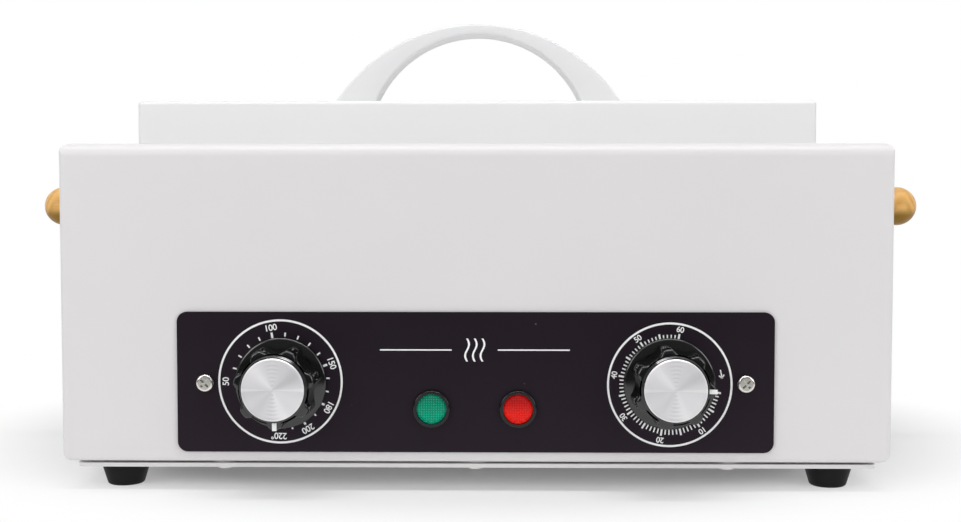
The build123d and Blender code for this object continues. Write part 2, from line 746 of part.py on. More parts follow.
def make_lid_handle_screws():
    """Two machine screws from inside the lid into the handle's feet."""
    seat_z = lid_top_z - lid_sheet
    screw = pan_head_screw(handle_screw_radius, handle_screw_length + lid_sheet - 1,
                           handle_screw_head_radius, handle_screw_head_height)
    return group(facing_down(screw, x, case_mid_y, seat_z) for x in handle_screw_places())


# Hinges, made at x = 0 and moved to their two places


def hinge_screw_places():
    y = hinge_axis_y + hinge_leaf_length * 0.6
    return [(side * hinge_x + x, y) for side in (-1, 1) for x in (-hinge_fastener_x, hinge_fastener_x)]


def hinge_rivet_places():
    z = hinge_axis_z + hinge_lid_leaf_height * 0.7
    return [(side * hinge_x + x, z) for side in (-1, 1) for x in (-hinge_fastener_x / 2, hinge_fastener_x / 2)]


def knuckle(x_range):
    return rod((x_range[0], hinge_axis_y, hinge_axis_z), (x_range[1], hinge_axis_y, hinge_axis_z), knuckle_radius)


def hinge_bore():
    half = hinge_width / 2 + 1
    return rod((-half, hinge_axis_y, hinge_axis_z), (half, hinge_axis_y, hinge_axis_z), knuckle_bore_radius)


def make_hinge_case_leaf(x):
    """The lower leaf: flat on the case's top, with a knuckle at each end."""
    half = hinge_width / 2
    middle = hinge_knuckle_length / 2 + hinge_knuckle_gap
    leaf = block((-half, half), (hinge_axis_y, hinge_axis_y + hinge_leaf_length),
                 (case_top_z, case_top_z + hinge_leaf_sheet))
    leaf = fillet(leaf.edges().filter_by(Axis.Z).group_by(Axis.Y)[-1], hinge_leaf_sheet * 2)
    leaf -= block((-middle, middle), (hinge_axis_y - 1, hinge_axis_y + hinge_offset + hinge_knuckle_gap),
                  (case_top_z - 1, case_top_z + hinge_offset))
    leaf += knuckle((-half, -middle)) + knuckle((middle, half))
    leaf -= hinge_bore()
    leaf = Pos(x, 0, 0) * leaf
    for screw_x, y in hinge_screw_places():
        if abs(screw_x - x) < half:
            leaf -= rod((screw_x, y, case_top_z - 1), (screw_x, y, case_top_z + hinge_leaf_sheet + 1),
                        hinge_fastener_radius + seat_clearance)
    return leaf


def make_hinge_lid_leaf(x):
    """The upper leaf: flat on the lid's rear wall, with one knuckle between the other two."""
    half = hinge_width / 2
    middle = hinge_knuckle_length / 2
    root_z = hinge_axis_z + hinge_offset + hinge_knuckle_gap
    y_range = (lid_rear_y, lid_rear_y + hinge_leaf_sheet)
    leaf = block((-half, half), y_range, (root_z, hinge_axis_z + hinge_lid_leaf_height))
    leaf = fillet(leaf.edges().filter_by(Axis.Y).group_by(Axis.Z)[-1], hinge_leaf_sheet * 2)
    leaf += block((-middle, middle), y_range, (hinge_axis_z, root_z))
    leaf += knuckle((-middle, middle))
    leaf -= hinge_bore()
    leaf = Pos(x, 0, 0) * leaf
    for rivet_x, z in hinge_rivet_places():
        if abs(rivet_x - x) < half:
            leaf -= rod((rivet_x, lid_rear_y - 1, z), (rivet_x, lid_rear_y + hinge_leaf_sheet + 1, z),
                        hinge_fastener_radius + seat_clearance)
    return leaf


def make_hinge_pins():
    """Headed pins that run the whole width of each hinge."""
    half = hinge_width / 2
    pin = rod((-half - running_clearance, 0, 0), (half + running_clearance, 0, 0), hinge_pin_radius)
    for side in (-1, 1):
        start = side * (half + running_clearance)
        end = start + side * hinge_pin_head_height
        pin += rod((start, 0, 0), (end, 0, 0), hinge_pin_head_radius)
    return group(Pos(side * hinge_x, hinge_axis_y, hinge_axis_z) * pin for side in (-1, 1))


def make_hinge_case_screws():
    """Low headed screws through the lower leaves into the case's top."""
    screw = pan_head_screw(hinge_fastener_radius, hinge_leaf_sheet + case_sheet + 3,
                           hinge_head_radius, hinge_head_height, recess=False)
    return group(Pos(x, y, case_top_z + hinge_leaf_sheet) * screw for x, y in hinge_screw_places())


def make_hinge_lid_rivets():
    """Rivets that join the upper leaves to the lid's rear wall."""
    outer_y = lid_rear_y + hinge_leaf_sheet
    inner_y = lid_rear_y - lid_sheet
    rivets = []
    for x, z in hinge_rivet_places():
        rivet = rod((x, inner_y, z), (x, outer_y, z), hinge_fastener_radius)
        rivet += rod((x, outer_y, z), (x, outer_y + hinge_head_height, z), hinge_head_radius)
        rivet += rod((x, inner_y - hinge_head_height, z), (x, inner_y, z), hinge_head_radius * 0.8)
        rivets.append(rivet)
    return group(rivets)


# Chamber


def make_chamber_tank():
    """The drawn steel chamber: it hangs by its flange in the opening of the case's top."""
    tank = rounded_slab(tank_length, tank_width, tank_corner_radius, tank_bottom_z, tank_flange_top_z, case_mid_y)
    tank = fillet(tank.faces().sort_by(Axis.Z)[0].edges(), tank_bottom_radius)
    flange_length, flange_width = tank_length + 2 * tank_flange_width, tank_width + 2 * tank_flange_width
    tank += rounded_slab(flange_length, flange_width, tank_corner_radius, case_top_z, tank_flange_top_z, case_mid_y)
    hollow = rounded_slab(tank_length - 2 * tank_sheet, tank_width - 2 * tank_sheet, tank_corner_radius - tank_sheet,
                          tank_bottom_z + tank_sheet, tank_flange_top_z + 1, case_mid_y)
    hollow = fillet(hollow.faces().sort_by(Axis.Z)[0].edges(), tank_bottom_radius - tank_sheet)
    return tank - hollow


def make_side_insulation():
    """The band of mineral wool round the chamber's walls."""
    gap = 2 * side_insulation_gap
    band = 2 * side_insulation_thickness
    low_z = tank_bottom_z + tank_bottom_radius
    high_z = case_top_z - case_sheet - side_insulation_rise
    outer = rounded_slab(tank_length + gap + band, tank_width + gap + band,
                         tank_corner_radius + side_insulation_thickness, low_z, high_z, case_mid_y)
    return outer - rounded_slab(tank_length + gap, tank_width + gap, tank_corner_radius + side_insulation_gap,
                                low_z - 1, high_z + 1, case_mid_y)


def element_runs():
    """The y places of the element's four straight runs."""
    return [case_mid_y + (index - 1.5) * element_run_pitch for index in range(4)]


def make_heating_element():
    """A sheathed tubular element, bent to four runs under the chamber, with both ends turned down."""
    far, near = -element_half_length, element_half_length
    runs = element_runs()
    points = [(near, runs[0], element_z - element_drop)]
    ends = (near, far)
    for index, y in enumerate(runs):
        points.append((ends[index % 2], y, element_z))
        points.append((ends[(index + 1) % 2], y, element_z))
    points.append((near, runs[-1], element_z - element_drop))
    return bent_tube(points, element_bend_radius, element_radius)


def make_heater_clamps():
    """Two sprung straps, welded at their ends, that hold the element and the sensor to the chamber."""
    top_z = tank_bottom_z
    strap_z = element_z - element_radius - element_gap
    half = element_runs()[-1] - case_mid_y + element_radius + clamp_sheet + element_gap
    straps = []
    for x in (-clamp_x, clamp_x):
        x_range = (x - clamp_width / 2, x + clamp_width / 2)
        strap = block(x_range, (case_mid_y - half, case_mid_y + half), (strap_z - clamp_sheet, strap_z))
        for side in (-1, 1):
            ends = sorted((case_mid_y + side * half, case_mid_y + side * (half - clamp_sheet)))
            strap += block(x_range, ends, (strap_z - clamp_sheet, top_z))
        straps.append(strap)
    return group(straps)


def shield_outline():
    return tank_length - 2 * shield_side_margin, tank_width - 2 * shield_side_margin


def make_heat_shield():
    """The bright steel tray under the heater that holds the lower wool and turns the heat back."""
    length, width = shield_outline()
    low_z = shield_top_z - shield_sheet
    shield = rounded_slab(length, width, tank_bottom_radius, low_z, shield_top_z + shield_wall, case_mid_y)
    shield -= rounded_slab(length - 2 * shield_sheet, width - 2 * shield_sheet, tank_bottom_radius - shield_sheet,
                           shield_top_z, shield_top_z + shield_wall + 1, case_mid_y)
    for x, y, radius in shield_hole_places():
        shield -= rod((x, y, low_z - 1), (x, y, shield_top_z + 1), radius)
    return shield


def shield_hole_places():
    """Holes through the shield and the lower wool: two element ends, the capillary and four studs."""
    runs = element_runs()
    holes = [(element_half_length, runs[0], pass_hole_radius), (element_half_length, runs[-1], pass_hole_radius)]
    holes.append((capillary_turn_x(), case_mid_y, pass_hole_radius / 2))
    studs = [(x, case_mid_y + y, stud_radius + seat_clearance) for x in (-stud_x, stud_x) for y in (-stud_y, stud_y)]
    return holes + studs


def make_bottom_insulation():
    """The mineral wool sheet that lies in the heat shield."""
    length, width = shield_outline()
    inset = 2 * (shield_sheet + side_insulation_gap)
    low_z, high_z = shield_top_z + side_insulation_gap / 2, shield_top_z + bottom_insulation_thickness
    pad = rounded_slab(length - inset, width - inset, tank_bottom_radius, low_z, high_z, case_mid_y)
    for x, y, radius in shield_hole_places():
        pad -= rod((x, y, low_z - 1), (x, y, high_z + 1), radius + side_insulation_gap)
    return pad


def make_shield_studs():
    """Four studs, welded under the chamber, with the nuts that carry the heat shield."""
    studs = []
    low_z = shield_top_z - shield_sheet
    for x in (-stud_x, stud_x):
        for y in (-stud_y, stud_y):
            place = Pos(x, case_mid_y + y, 0)
            stud = rod((0, 0, low_z - stud_nut_height), (0, 0, tank_bottom_z), stud_radius)
            stud += hexagon(2 * stud_nut_radius, low_z - stud_nut_height, low_z, stud_radius - seat_clearance)
            studs.append(place * stud)
    return group(studs)


def capillary_turn_x():
    """Where the sensor's thin tube comes up through the shield, beside the sensor's end."""
    return -bulb_length / 2 - 3 * capillary_bend_radius


def make_thermostat_capillary():
    """The sensor bulb under the chamber and the thin tube that joins it to the temperature control."""
    back_y = panel_face_y + wall_stack + thermostat_depth
    low_z = dial_z + thermostat_height / 4
    high_z = tank_bottom_z - element_gap - bulb_radius
    turn_x = capillary_turn_x()
    points = [(-dial_x, back_y, low_z), (-dial_x, case_mid_y, low_z), (turn_x, case_mid_y, low_z),
              (turn_x, case_mid_y, high_z), (-bulb_length / 2, case_mid_y, high_z)]
    tube = bent_tube(points, capillary_bend_radius, capillary_radius)
    bulb = rod((-bulb_length / 2, case_mid_y, high_z), (bulb_length / 2, case_mid_y, high_z), bulb_radius)
    return tube + fillet(bulb.edges().filter_by(GeomType.CIRCLE), bulb_radius / 2)


# Tray


def make_instrument_tray():
    """The folded steel tray, open above, with rows of round holes in its floor."""
    floor_z = tank_bottom_z + tank_sheet
    tray = rounded_slab(tray_length, tray_width, tray_corner_radius, floor_z, floor_z + tray_height, case_mid_y)
    tray -= rounded_slab(tray_length - 2 * tray_sheet, tray_width - 2 * tray_sheet, tray_corner_radius - tray_sheet,
                         floor_z + tray_sheet, floor_z + tray_height + 1, case_mid_y)
    hole = Pos(0, 0, floor_z) * Cylinder(tray_hole_radius, 4 * tray_sheet)
    for x in tray_hole_row(tray_length):
        for y in tray_hole_row(tray_width):
            tray -= Pos(x, case_mid_y + y, 0) * hole
    return tray


def tray_hole_row(length):
    """The places of as many holes as fit along one side of the tray, from its middle."""
    steps = int((length - 2 * tray_hole_margin) // tray_hole_pitch)
    return [(index - steps / 2) * tray_hole_pitch for index in range(steps + 1)]


def make_tray_handle(side):
    """A bent wire bail, welded upright to the tray's end."""
    floor_z = tank_bottom_z + tank_sheet
    x = side * (tray_length / 2 + tray_wire_radius)
    low_z = floor_z + tray_height - tray_wire_root
    high_z = floor_z + tray_height + tray_wire_rise
    half = tray_wire_width / 2
    points = [(x, case_mid_y - half, low_z), (x, case_mid_y - half, high_z),
              (x, case_mid_y + half, high_z), (x, case_mid_y + half, low_z)]
    return bent_tube(points, tray_wire_bend_radius, tray_wire_radius)


# Side knobs


def make_side_knob(side):
    """A turned, lacquered knob: a ball on a waisted neck with a small foot against the case."""
    centre = side_knob_reach - side_knob_ball_radius
    waist = (side_knob_base_length + centre) / 2
    ball_joint = centre - math.sqrt(side_knob_ball_radius ** 2 - side_knob_neck_radius ** 2)
    foot_edge = (side_knob_base_radius, side_knob_base_length)
    neck = Spline(foot_edge, (side_knob_neck_radius * 0.92, waist * 0.7), (side_knob_neck_radius, ball_joint))
    ball = ThreePointArc((side_knob_neck_radius, ball_joint), (side_knob_ball_radius, centre), (0, side_knob_reach))
    lines = Line((0, side_knob_reach), (0, 0)) + Line((0, 0), (side_knob_base_radius, 0))
    lines += Line((side_knob_base_radius, 0), foot_edge) + neck + ball
    knob = revolve(Plane.XZ * make_face(lines), Axis.Z)
    knob -= rod((0, 0, -1), (0, 0, side_screw_length), side_screw_radius + running_clearance)
    return Pos(side * case_width / 2, case_mid_y, side_knob_z) * Rot(0, 90 * side, 0) * knob


def make_side_knob_screws():
    """Machine screws from inside the case into the side knobs."""
    screw = pan_head_screw(side_screw_radius, side_screw_length + case_sheet - 1,
                           side_screw_head_radius, side_screw_head_height)
    wall_x = case_width / 2 - case_sheet
    return group(Pos(side * wall_x, case_mid_y, side_knob_z) * Rot(0, -90 * side, 0) * screw for side in (-1, 1))


# Cord inlet, made on the Z axis and turned to face the back


def facing_back(shape):
    return Pos(gland_x, case_rear_y, gland_z) * Rot(-90, 0, 0) * shape


def make_cord_gland():
    """The black cord gland in the rear wall: a hexagon, a domed nose and a threaded tail."""
    gland = hexagon(gland_flats, 0, gland_hex_length, gland_bore_radius)
    nose = rod((0, 0, gland_hex_length), (0, 0, gland_reach), gland_dome_radius)
    gland += fillet(nose.edges().filter_by(GeomType.CIRCLE).group_by(Axis.Z)[-1], gland_dome_radius * 0.4)
    gland += rod((0, 0, -gland_thread_length), (0, 0, 0), gland_thread_radius)
    return facing_back(gland - rod((0, 0, -gland_thread_length - 1), (0, 0, gland_reach + 1), gland_bore_radius))


def make_cord_gland_nut():
    low = -case_sheet - gland_nut_height
    return facing_back(hexagon(gland_nut_flats, low, -case_sheet, gland_thread_radius + seat_clearance / 2))


# Terminal block and wires


def block_place():
    """The middle of the terminal block's foot, on the base plate in front of the gland."""
    return gland_x, case_rear_y - case_flange - block_width, base_top_z


def make_terminal_block():
    """A moulded block whose ways have a round pocket for each wire, front and back."""
    x, y, z = block_place()
    body = Pos(x, y, z + block_height / 2) * Box(block_length, block_width, block_height)
    body = fillet(body.edges().filter_by(Axis.Y).group_by(Axis.Z)[-1], 2)
    for way_x in block_ways_x():
        for side in (-1, 1):
            face_y = y + side * block_width / 2
            body -= rod((way_x, face_y - side * block_pocket_depth, z + block_height / 2),
                        (way_x, face_y + side, z + block_height / 2), wire_radius * 2)
        body -= rod((way_x, y, z + block_height - block_pocket_depth), (way_x, y, z + block_height + 1),
                    wire_radius * 2)
    return body


def block_ways_x():
    x, _, _ = block_place()
    return [x + (index - (block_ways - 1) / 2) * block_length / block_ways for index in range(block_ways)]


def wire(points):
    return bent_tube(points, wire_bend_radius, wire_radius)


def make_internal_wires():
    """Silicone covered wires: supply to timer, timer to temperature control, and on to the element."""
    _, block_y, block_z = block_place()
    front_face = block_y - block_width / 2
    block_wire_z = block_z + block_height / 2
    ways = block_ways_x()
    bell = timer_bell_radius / 2
    timer_back = panel_face_y + wall_stack + timer_depth + blade_length
    timer_z = dial_z - (timer_radius + timer_bell_radius) / 2
    thermostat_back = panel_face_y + wall_stack + thermostat_depth + blade_length
    thermostat_z = dial_z - thermostat_height / 4
    third = thermostat_width / 3
    runs = element_runs()
    element_end_z = element_z - element_drop
    mid_y = (front_face + timer_back) / 2
    supply = wire([(ways[0], front_face, block_wire_z), (ways[0], mid_y, block_wire_z),
                   (dial_x + bell, mid_y, block_wire_z), (dial_x + bell, timer_back + 2 * wire_bend_radius, timer_z),
                   (dial_x + bell, timer_back, timer_z)])
    between_y = timer_back + 2 * wire_bend_radius
    link = wire([(dial_x - bell, timer_back, timer_z), (dial_x - bell, between_y, timer_z),
                 (-dial_x + third, between_y, thermostat_z), (-dial_x + third, thermostat_back, thermostat_z)])
    lower_z = element_end_z - 2 * wire_bend_radius
    heater_in = wire([(-dial_x, thermostat_back, thermostat_z), (-dial_x, between_y + wire_bend_radius, thermostat_z),
                      (element_half_length, runs[0], lower_z), (element_half_length, runs[0], element_end_z)])
    turn_y = runs[-1] - wire_slack
    heater_out = wire([(element_half_length, runs[-1], element_end_z), (element_half_length, runs[-1], lower_z),
                       (element_half_length, turn_y, lower_z - wire_slack / 2),
                       (ways[2], turn_y, block_wire_z), (ways[2], front_face, block_wire_z)])
    return group([supply, link, heater_in, heater_out])


def all_parts():
    """Every node's name and its shape."""
    parts = {
        "outer_case": make_outer_case(),
        "base_plate": make_base_plate(),
        "base_plate_screws": make_base_plate_screws(),
        "foot_screws": make_foot_screws(),
        "foot_nuts": make_foot_nuts(),
        "control_panel": make_control_panel(),
        "panel_screws": make_panel_screws(),
        "temperature_knob": make_knob(temperature_rest_angle, -dial_x),
        "temperature_knob_cap": make_knob_cap(-dial_x),
        "temperature_shaft": make_shaft(temperature_rest_angle, -dial_x),
        "timer_knob": make_knob(timer_rest_angle, dial_x),
        "timer_knob_cap": make_knob_cap(dial_x),
        "timer_shaft": make_shaft(timer_rest_angle, dial_x),
        "thermostat_body": make_thermostat_body(),
        "thermostat_nut": make_bushing_nut(-dial_x),
        "thermostat_capillary": make_thermostat_capillary(),
        "timer_body": make_timer_body(),
        "timer_nut": make_bushing_nut(dial_x),
        "lamp_clips": make_lamp_clips(),
        "lid_shell": make_lid_shell(),
        "lid_inner_pan": make_lid_inner_pan(),
        "lid_insulation": make_lid_insulation(),
        "lid_handle": make_lid_handle(),
        "lid_handle_screws": make_lid_handle_screws(),
        "hinge_pins": make_hinge_pins(),
        "hinge_case_screws": make_hinge_case_screws(),
        "hinge_lid_rivets": make_hinge_lid_rivets(),
        "chamber_tank": make_chamber_tank(),
        "side_insulation": make_side_insulation(),
        "heating_element": make_heating_element(),
        "heater_clamps": make_heater_clamps(),
        "heat_shield": make_heat_shield(),
        "bottom_insulation": make_bottom_insulation(),
        "shield_studs": make_shield_studs(),
        "instrument_tray": make_instrument_tray(),
        "side_knob_screws": make_side_knob_screws(),
        "cord_gland": make_cord_gland(),
        "cord_gland_nut": make_cord_gland_nut(),
        "terminal_block": make_terminal_block(),
        "internal_wires": make_internal_wires(),
    }
    corners = ("front_left", "front_right", "rear_left", "rear_right")
    for corner, (x, y) in zip(corners, foot_places()):
        parts["foot_" + corner] = make_foot(x, y)
    for colour, x in (("green", -lamp_x), ("red", lamp_x)):
        parts[colour + "_lamp_bezel"] = make_lamp_bezel(x)
        parts[colour + "_lamp_lens"] = make_lamp_lens(x)
        parts[colour + "_lamp_holder"] = make_lamp_holder(x)
    for name, side in (("left", -1), ("right", 1)):
        parts["hinge_case_leaf_" + name] = make_hinge_case_leaf(side * hinge_x)
        parts["hinge_lid_leaf_" + name] = make_hinge_lid_leaf(side * hinge_x)
        parts["tray_handle_" + name] = make_tray_handle(side)
        parts["side_knob_" + name] = make_side_knob(side)
    return parts


if __name__ == "__main__":
    os.makedirs("parts", exist_ok=True)
    for node, shape in all_parts().items():
        export_step(shape, f"parts/{node}.step")
    print("case front at y =", case_front_y, "and case top at z =", case_top_z)
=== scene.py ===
# %% [markdown]
# # A dry heat sterilizer, dressed in Blender
#
# The real object is a small bench sterilizer: a white powder coated sheet metal case with a lid and
# an arched handle on top, and a black printed control panel with two dials and two lamps in front.
# Its solids come ready made from the CAD program, in the right place and at the right size. This
# lesson gives each of them its finish. It models again the pieces whose small forms matter to the
# eye, which are the arched handle, the dial knobs, their spun caps and the lamp lenses, and it adds
# what is printed: the two scales, the pointers and the mark between the dials.

# %% Load the solids
import bmesh
import bpy
import json
import math
from mathutils import Matrix, Vector


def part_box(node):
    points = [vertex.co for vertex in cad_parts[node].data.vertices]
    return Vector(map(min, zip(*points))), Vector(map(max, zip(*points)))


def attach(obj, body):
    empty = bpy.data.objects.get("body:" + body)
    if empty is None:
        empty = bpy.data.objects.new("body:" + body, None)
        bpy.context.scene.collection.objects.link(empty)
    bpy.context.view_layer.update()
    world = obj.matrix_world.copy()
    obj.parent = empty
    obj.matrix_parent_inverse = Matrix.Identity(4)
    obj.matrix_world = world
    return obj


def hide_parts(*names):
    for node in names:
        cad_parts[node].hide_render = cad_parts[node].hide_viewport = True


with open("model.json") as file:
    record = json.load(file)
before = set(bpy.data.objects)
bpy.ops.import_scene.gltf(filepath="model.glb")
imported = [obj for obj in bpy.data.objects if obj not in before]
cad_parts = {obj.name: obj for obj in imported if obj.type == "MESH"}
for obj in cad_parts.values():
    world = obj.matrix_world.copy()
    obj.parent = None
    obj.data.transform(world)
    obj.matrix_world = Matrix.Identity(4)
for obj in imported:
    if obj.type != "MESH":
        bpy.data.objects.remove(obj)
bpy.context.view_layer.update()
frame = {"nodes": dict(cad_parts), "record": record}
nodes = frame["nodes"]
mm = 0.001


def corners_of(node):
    """The lowest and highest corner of a solid, in millimetres."""
    low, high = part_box(node)
    return low / mm, high / mm


def middle_of(node):
    """The middle of a solid's box, in millimetres."""
    low, high = corners_of(node)
    return (low + high) / 2


# %% [markdown]
# ## The camera
#
# The photograph was taken from straight in front, half a metre away, with the camera a little
# higher than the middle of the case. A wrong distance would show at once in the lid, which stands
# behind the front. So the distance, the height and the small tilt were worked out first, from the
# outlines of pieces whose depth is known, and only then written down here.

# %% Camera
camera_place = Vector((9.8, -580.5, 114.4))
camera_tilt = 87.29
camera_turn = 0.867
focal_length = 48.29

camera_data = bpy.data.cameras.new("camera")
camera_data.sensor_width = 36
camera_data.lens = focal_length
camera = bpy.data.objects.new("camera", camera_data)
camera.location = camera_place * mm
camera.rotation_euler = (math.radians(camera_tilt), 0, math.radians(camera_turn))
bpy.context.scene.collection.objects.link(camera)
bpy.context.scene.camera = camera
print("camera at", [round(value, 4) for value in camera.location])

# %% [markdown]
# ## Writing finishes as sums
#
# A finish is a net of shader nodes. Wiring each one by hand is long and hard to read, so one small
# class wraps the output of a node and lets Python's own signs add the Math nodes: a line such as
# `0.3 + 0.1 * cloud` reads as the recipe that it is. Every other kind of node comes from one method
# of the finish, which takes the node's settings first and then what goes into its sockets.


# %% A socket that can be calculated with
class Wire:
    """One output of a shader node, or the sum that an expression builds from it."""

    def __init__(self, net, socket):
        self.net = net
        self.socket = socket

    def math(self, operation, first, second=0.0):
        return self.net.node("ShaderNodeMath", {"operation": operation}, (first, second))

    def __add__(self, other):
        return self.math("ADD", self, other)

    def __radd__(self, other):
        return self.math("ADD", other, self)

    def __sub__(self, other):
        return self.math("SUBTRACT", self, other)

    def __rsub__(self, other):
        return self.math("SUBTRACT", other, self)

    def __mul__(self, other):
        return self.math("MULTIPLY", self, other)

    def __rmul__(self, other):
        return self.math("MULTIPLY", other, self)

    def __truediv__(self, other):
        return self.math("DIVIDE", self, other)

    def __pow__(self, other):
        return self.math("POWER", self, other)

    def __abs__(self):
        return self.math("ABSOLUTE", self)

    def wave(self):
        """A sine, from 0 to 1."""
        return self.math("SINE", self) * 0.5 + 0.5

    def above(self, limit, width):
        """0 below the limit and 1 above it, with a soft step of that width."""
        settings = {"interpolation_type": "SMOOTHSTEP"}
        inputs = {"Value": self, "From Min": limit - width / 2, "From Max": limit + width / 2}
        return self.net.node("ShaderNodeMapRange", settings, inputs)


# %% A net of nodes, and a finish
class Net:
    """A node tree that is filled by one method."""

    def __init__(self, owner):
        owner.use_nodes = True
        self.tree = owner.node_tree

    def feed(self, socket, value):
        if isinstance(value, Wire):
            self.tree.links.new(value.socket, socket)
        else:
            socket.default_value = value

    def node(self, kind, settings, inputs, output=0):
        """Add a node, set it, fill its sockets by number or by name, and hand back one output."""
        node = self.tree.nodes.new(kind)
        for setting, value in settings.items():
            setattr(node, setting, value)
        pairs = inputs.items() if isinstance(inputs, dict) else enumerate(inputs)
        for socket, value in pairs:
            self.feed(node.inputs[socket], value)
        return Wire(self, node.outputs[output])

    def axes(self, point):
        """The three numbers of a point, each as a wire."""
        return [self.node("ShaderNodeSeparateXYZ", {}, (point,), axis) for axis in range(3)]

    def seen_by(self, *rays):
        """1 where the surface is met by one of these kinds of ray, and 0 elsewhere."""
        found = [self.node("ShaderNodeLightPath", {}, {}, f"Is {ray} Ray") for ray in rays]
        return found[0] if len(found) == 1 else self.larger(*found)

    def larger(self, first, second):
        """The larger of two wires at each point."""
        return first.math("MAXIMUM", first, second)


class Finish(Net):
    """A material for one kind of surface, with the numbers that are the same all over it."""

    def __init__(self, name, colour, roughness, **sockets):
        self.material = bpy.data.materials.new(name)
        super().__init__(self.material)
        self.surface = self.tree.nodes["Principled BSDF"]
        self.material.diffuse_color = (*colour, 1)
        self.set("Base Color", (*colour, 1))
        self.set("Roughness", roughness)
        for socket, value in sockets.items():
            self.set(socket.replace("_", " "), value)

    def set(self, socket, value):
        """Give one of the surface's sockets a value, or a wire."""
        self.feed(self.surface.inputs[socket], value)

    def place(self, stretch=(1, 1, 1), turn=(0, 0, 0), centre=(0, 0, 0)):
        """The point on the surface in millimetres: from a centre, then stretched and turned."""
        point = self.node("ShaderNodeTexCoord", {}, {}, "Object")
        start = [value * mm for value in centre]
        shifted = self.node("ShaderNodeVectorMath", {"operation": "SUBTRACT"}, (point, start))
        scale = [share / mm for share in stretch]
        return self.node("ShaderNodeMapping", {"vector_type": "POINT"},
                         {"Vector": shifted, "Rotation": turn, "Scale": scale})

    def cloud(self, point, size, detail=2.0):
        """Soft noise whose patches are about that many millimetres across."""
        inputs = {"Vector": point, "Scale": 1 / size, "Detail": detail}
        return self.node("ShaderNodeTexNoise", {}, inputs)

    def specks(self, point, pitch, size):
        """1 inside small round specks, one or none in each cell of that pitch."""
        distance = self.node("ShaderNodeTexVoronoi", {}, {"Vector": point, "Scale": 1 / pitch})
        return 1 - distance.above(size / pitch, size / pitch * 0.6)

    def blend(self, share, first, second):
        """A colour between two colours, of which either may be a wire."""
        ends = [value if isinstance(value, Wire) else (*value, 1) for value in (first, second)]
        inputs = {0: share, 6: ends[0], 7: ends[1]}
        return self.node("ShaderNodeMix", {"data_type": "RGBA"}, inputs, 2)

    def bump(self, height, depth):
        """Turn a height from 0 to 1 into dents that many millimetres deep."""
        inputs = {"Height": height, "Distance": depth * mm}
        self.set("Normal", self.node("ShaderNodeBump", {}, inputs))


# %% [markdown]
# ## Studio: backdrop, floor and lamps
#
# The photograph's background is pure white, and the floor under the sterilizer is white as well,
# with one soft grey shadow. More light would bleach the white case too. So the world shows itself
# as plain white to the camera and behind the object, and lights the object at its own, lower level.
# In front, where the camera stands, a studio is dark, and shiny black pieces tell so: the upper
# halves of the knobs are black, and their lower halves mirror the white paper on the table. In
# mirrors the paper ends at its front edge, and a dark table lies beyond it.

# %% World
white = (1, 1, 1, 1)
cool_white = (0.98, 0.99, 1, 1)
ambient_level = 0.37
front_level = 0.17
lit_behind = -0.25
lit_overhead = 0.55

studio = bpy.data.worlds.new("studio")
bpy.context.scene.world = studio
sky = Net(studio)
sky.tree.nodes.clear()


def background(colour, strength):
    return sky.node("ShaderNodeBackground", {}, {"Color": colour, "Strength": strength})


_, depth, height = sky.axes(sky.node("ShaderNodeTexCoord", {}, {}, "Generated"))
lit_part = sky.larger(depth.above(lit_behind, 0.9), height.above(lit_overhead, 0.5))
reflected = background(white, lit_part * (1 - front_level) + front_level)
ambient = background(cool_white, ambient_level)
with_mirrors = sky.node("ShaderNodeMixShader", {}, (sky.seen_by("Glossy"), ambient, reflected))
seen_directly = sky.seen_by("Camera", "Transmission")
everything = sky.node("ShaderNodeMixShader", {},
                      (seen_directly, with_mirrors, background(white, 1.0)))
sky.feed(sky.tree.nodes.new("ShaderNodeOutputWorld").inputs["Surface"], everything)
bpy.context.scene.view_settings.view_transform = "Standard"
print("the world lights with", ambient_level, "and its front shows", front_level, "in mirrors")


# %% Lamps
def soft_lamp(name, place, aim, size, power):
    """A rectangular soft box at a place in metres, turned towards the point that it lights."""
    data = bpy.data.lights.new(name, "AREA")
    data.shape = "RECTANGLE"
    data.size, data.size_y = size
    data.energy = power
    lamp = bpy.data.objects.new(name, data)
    lamp.location = place
    lamp.rotation_euler = (Vector(aim) - Vector(place)).to_track_quat("-Z", "Y").to_euler()
    bpy.context.scene.collection.objects.link(lamp)


lit_point = Vector((0, 0, 0.09))
soft_lamp("top_lamp", (0.0, 0.0, 0.95), lit_point, (1.2, 0.8), 1.6)
soft_lamp("edge_lamp", (0.0, -0.25, 0.85), lit_point, (0.9, 0.05), 2.5)
soft_lamp("left_lamp", (-0.9, -1.0, 0.55), lit_point, (0.6, 0.6), 4.6)
soft_lamp("right_lamp", (1.0, -0.95, 0.45), lit_point, (0.6, 0.6), 4.0)


# %% Floor
paper_white = (0.93, 0.93, 0.93)
table_black = (0.02, 0.02, 0.02)
paper_edge = -370.0
shadow_middle = 60.0
shadow_reach = 222.0
shadow_fade = 110.0
shadow_squeeze = 1.6
white_under_shadow = 0.12
white_in_mirrors = 0.66
floor_size = 6.0


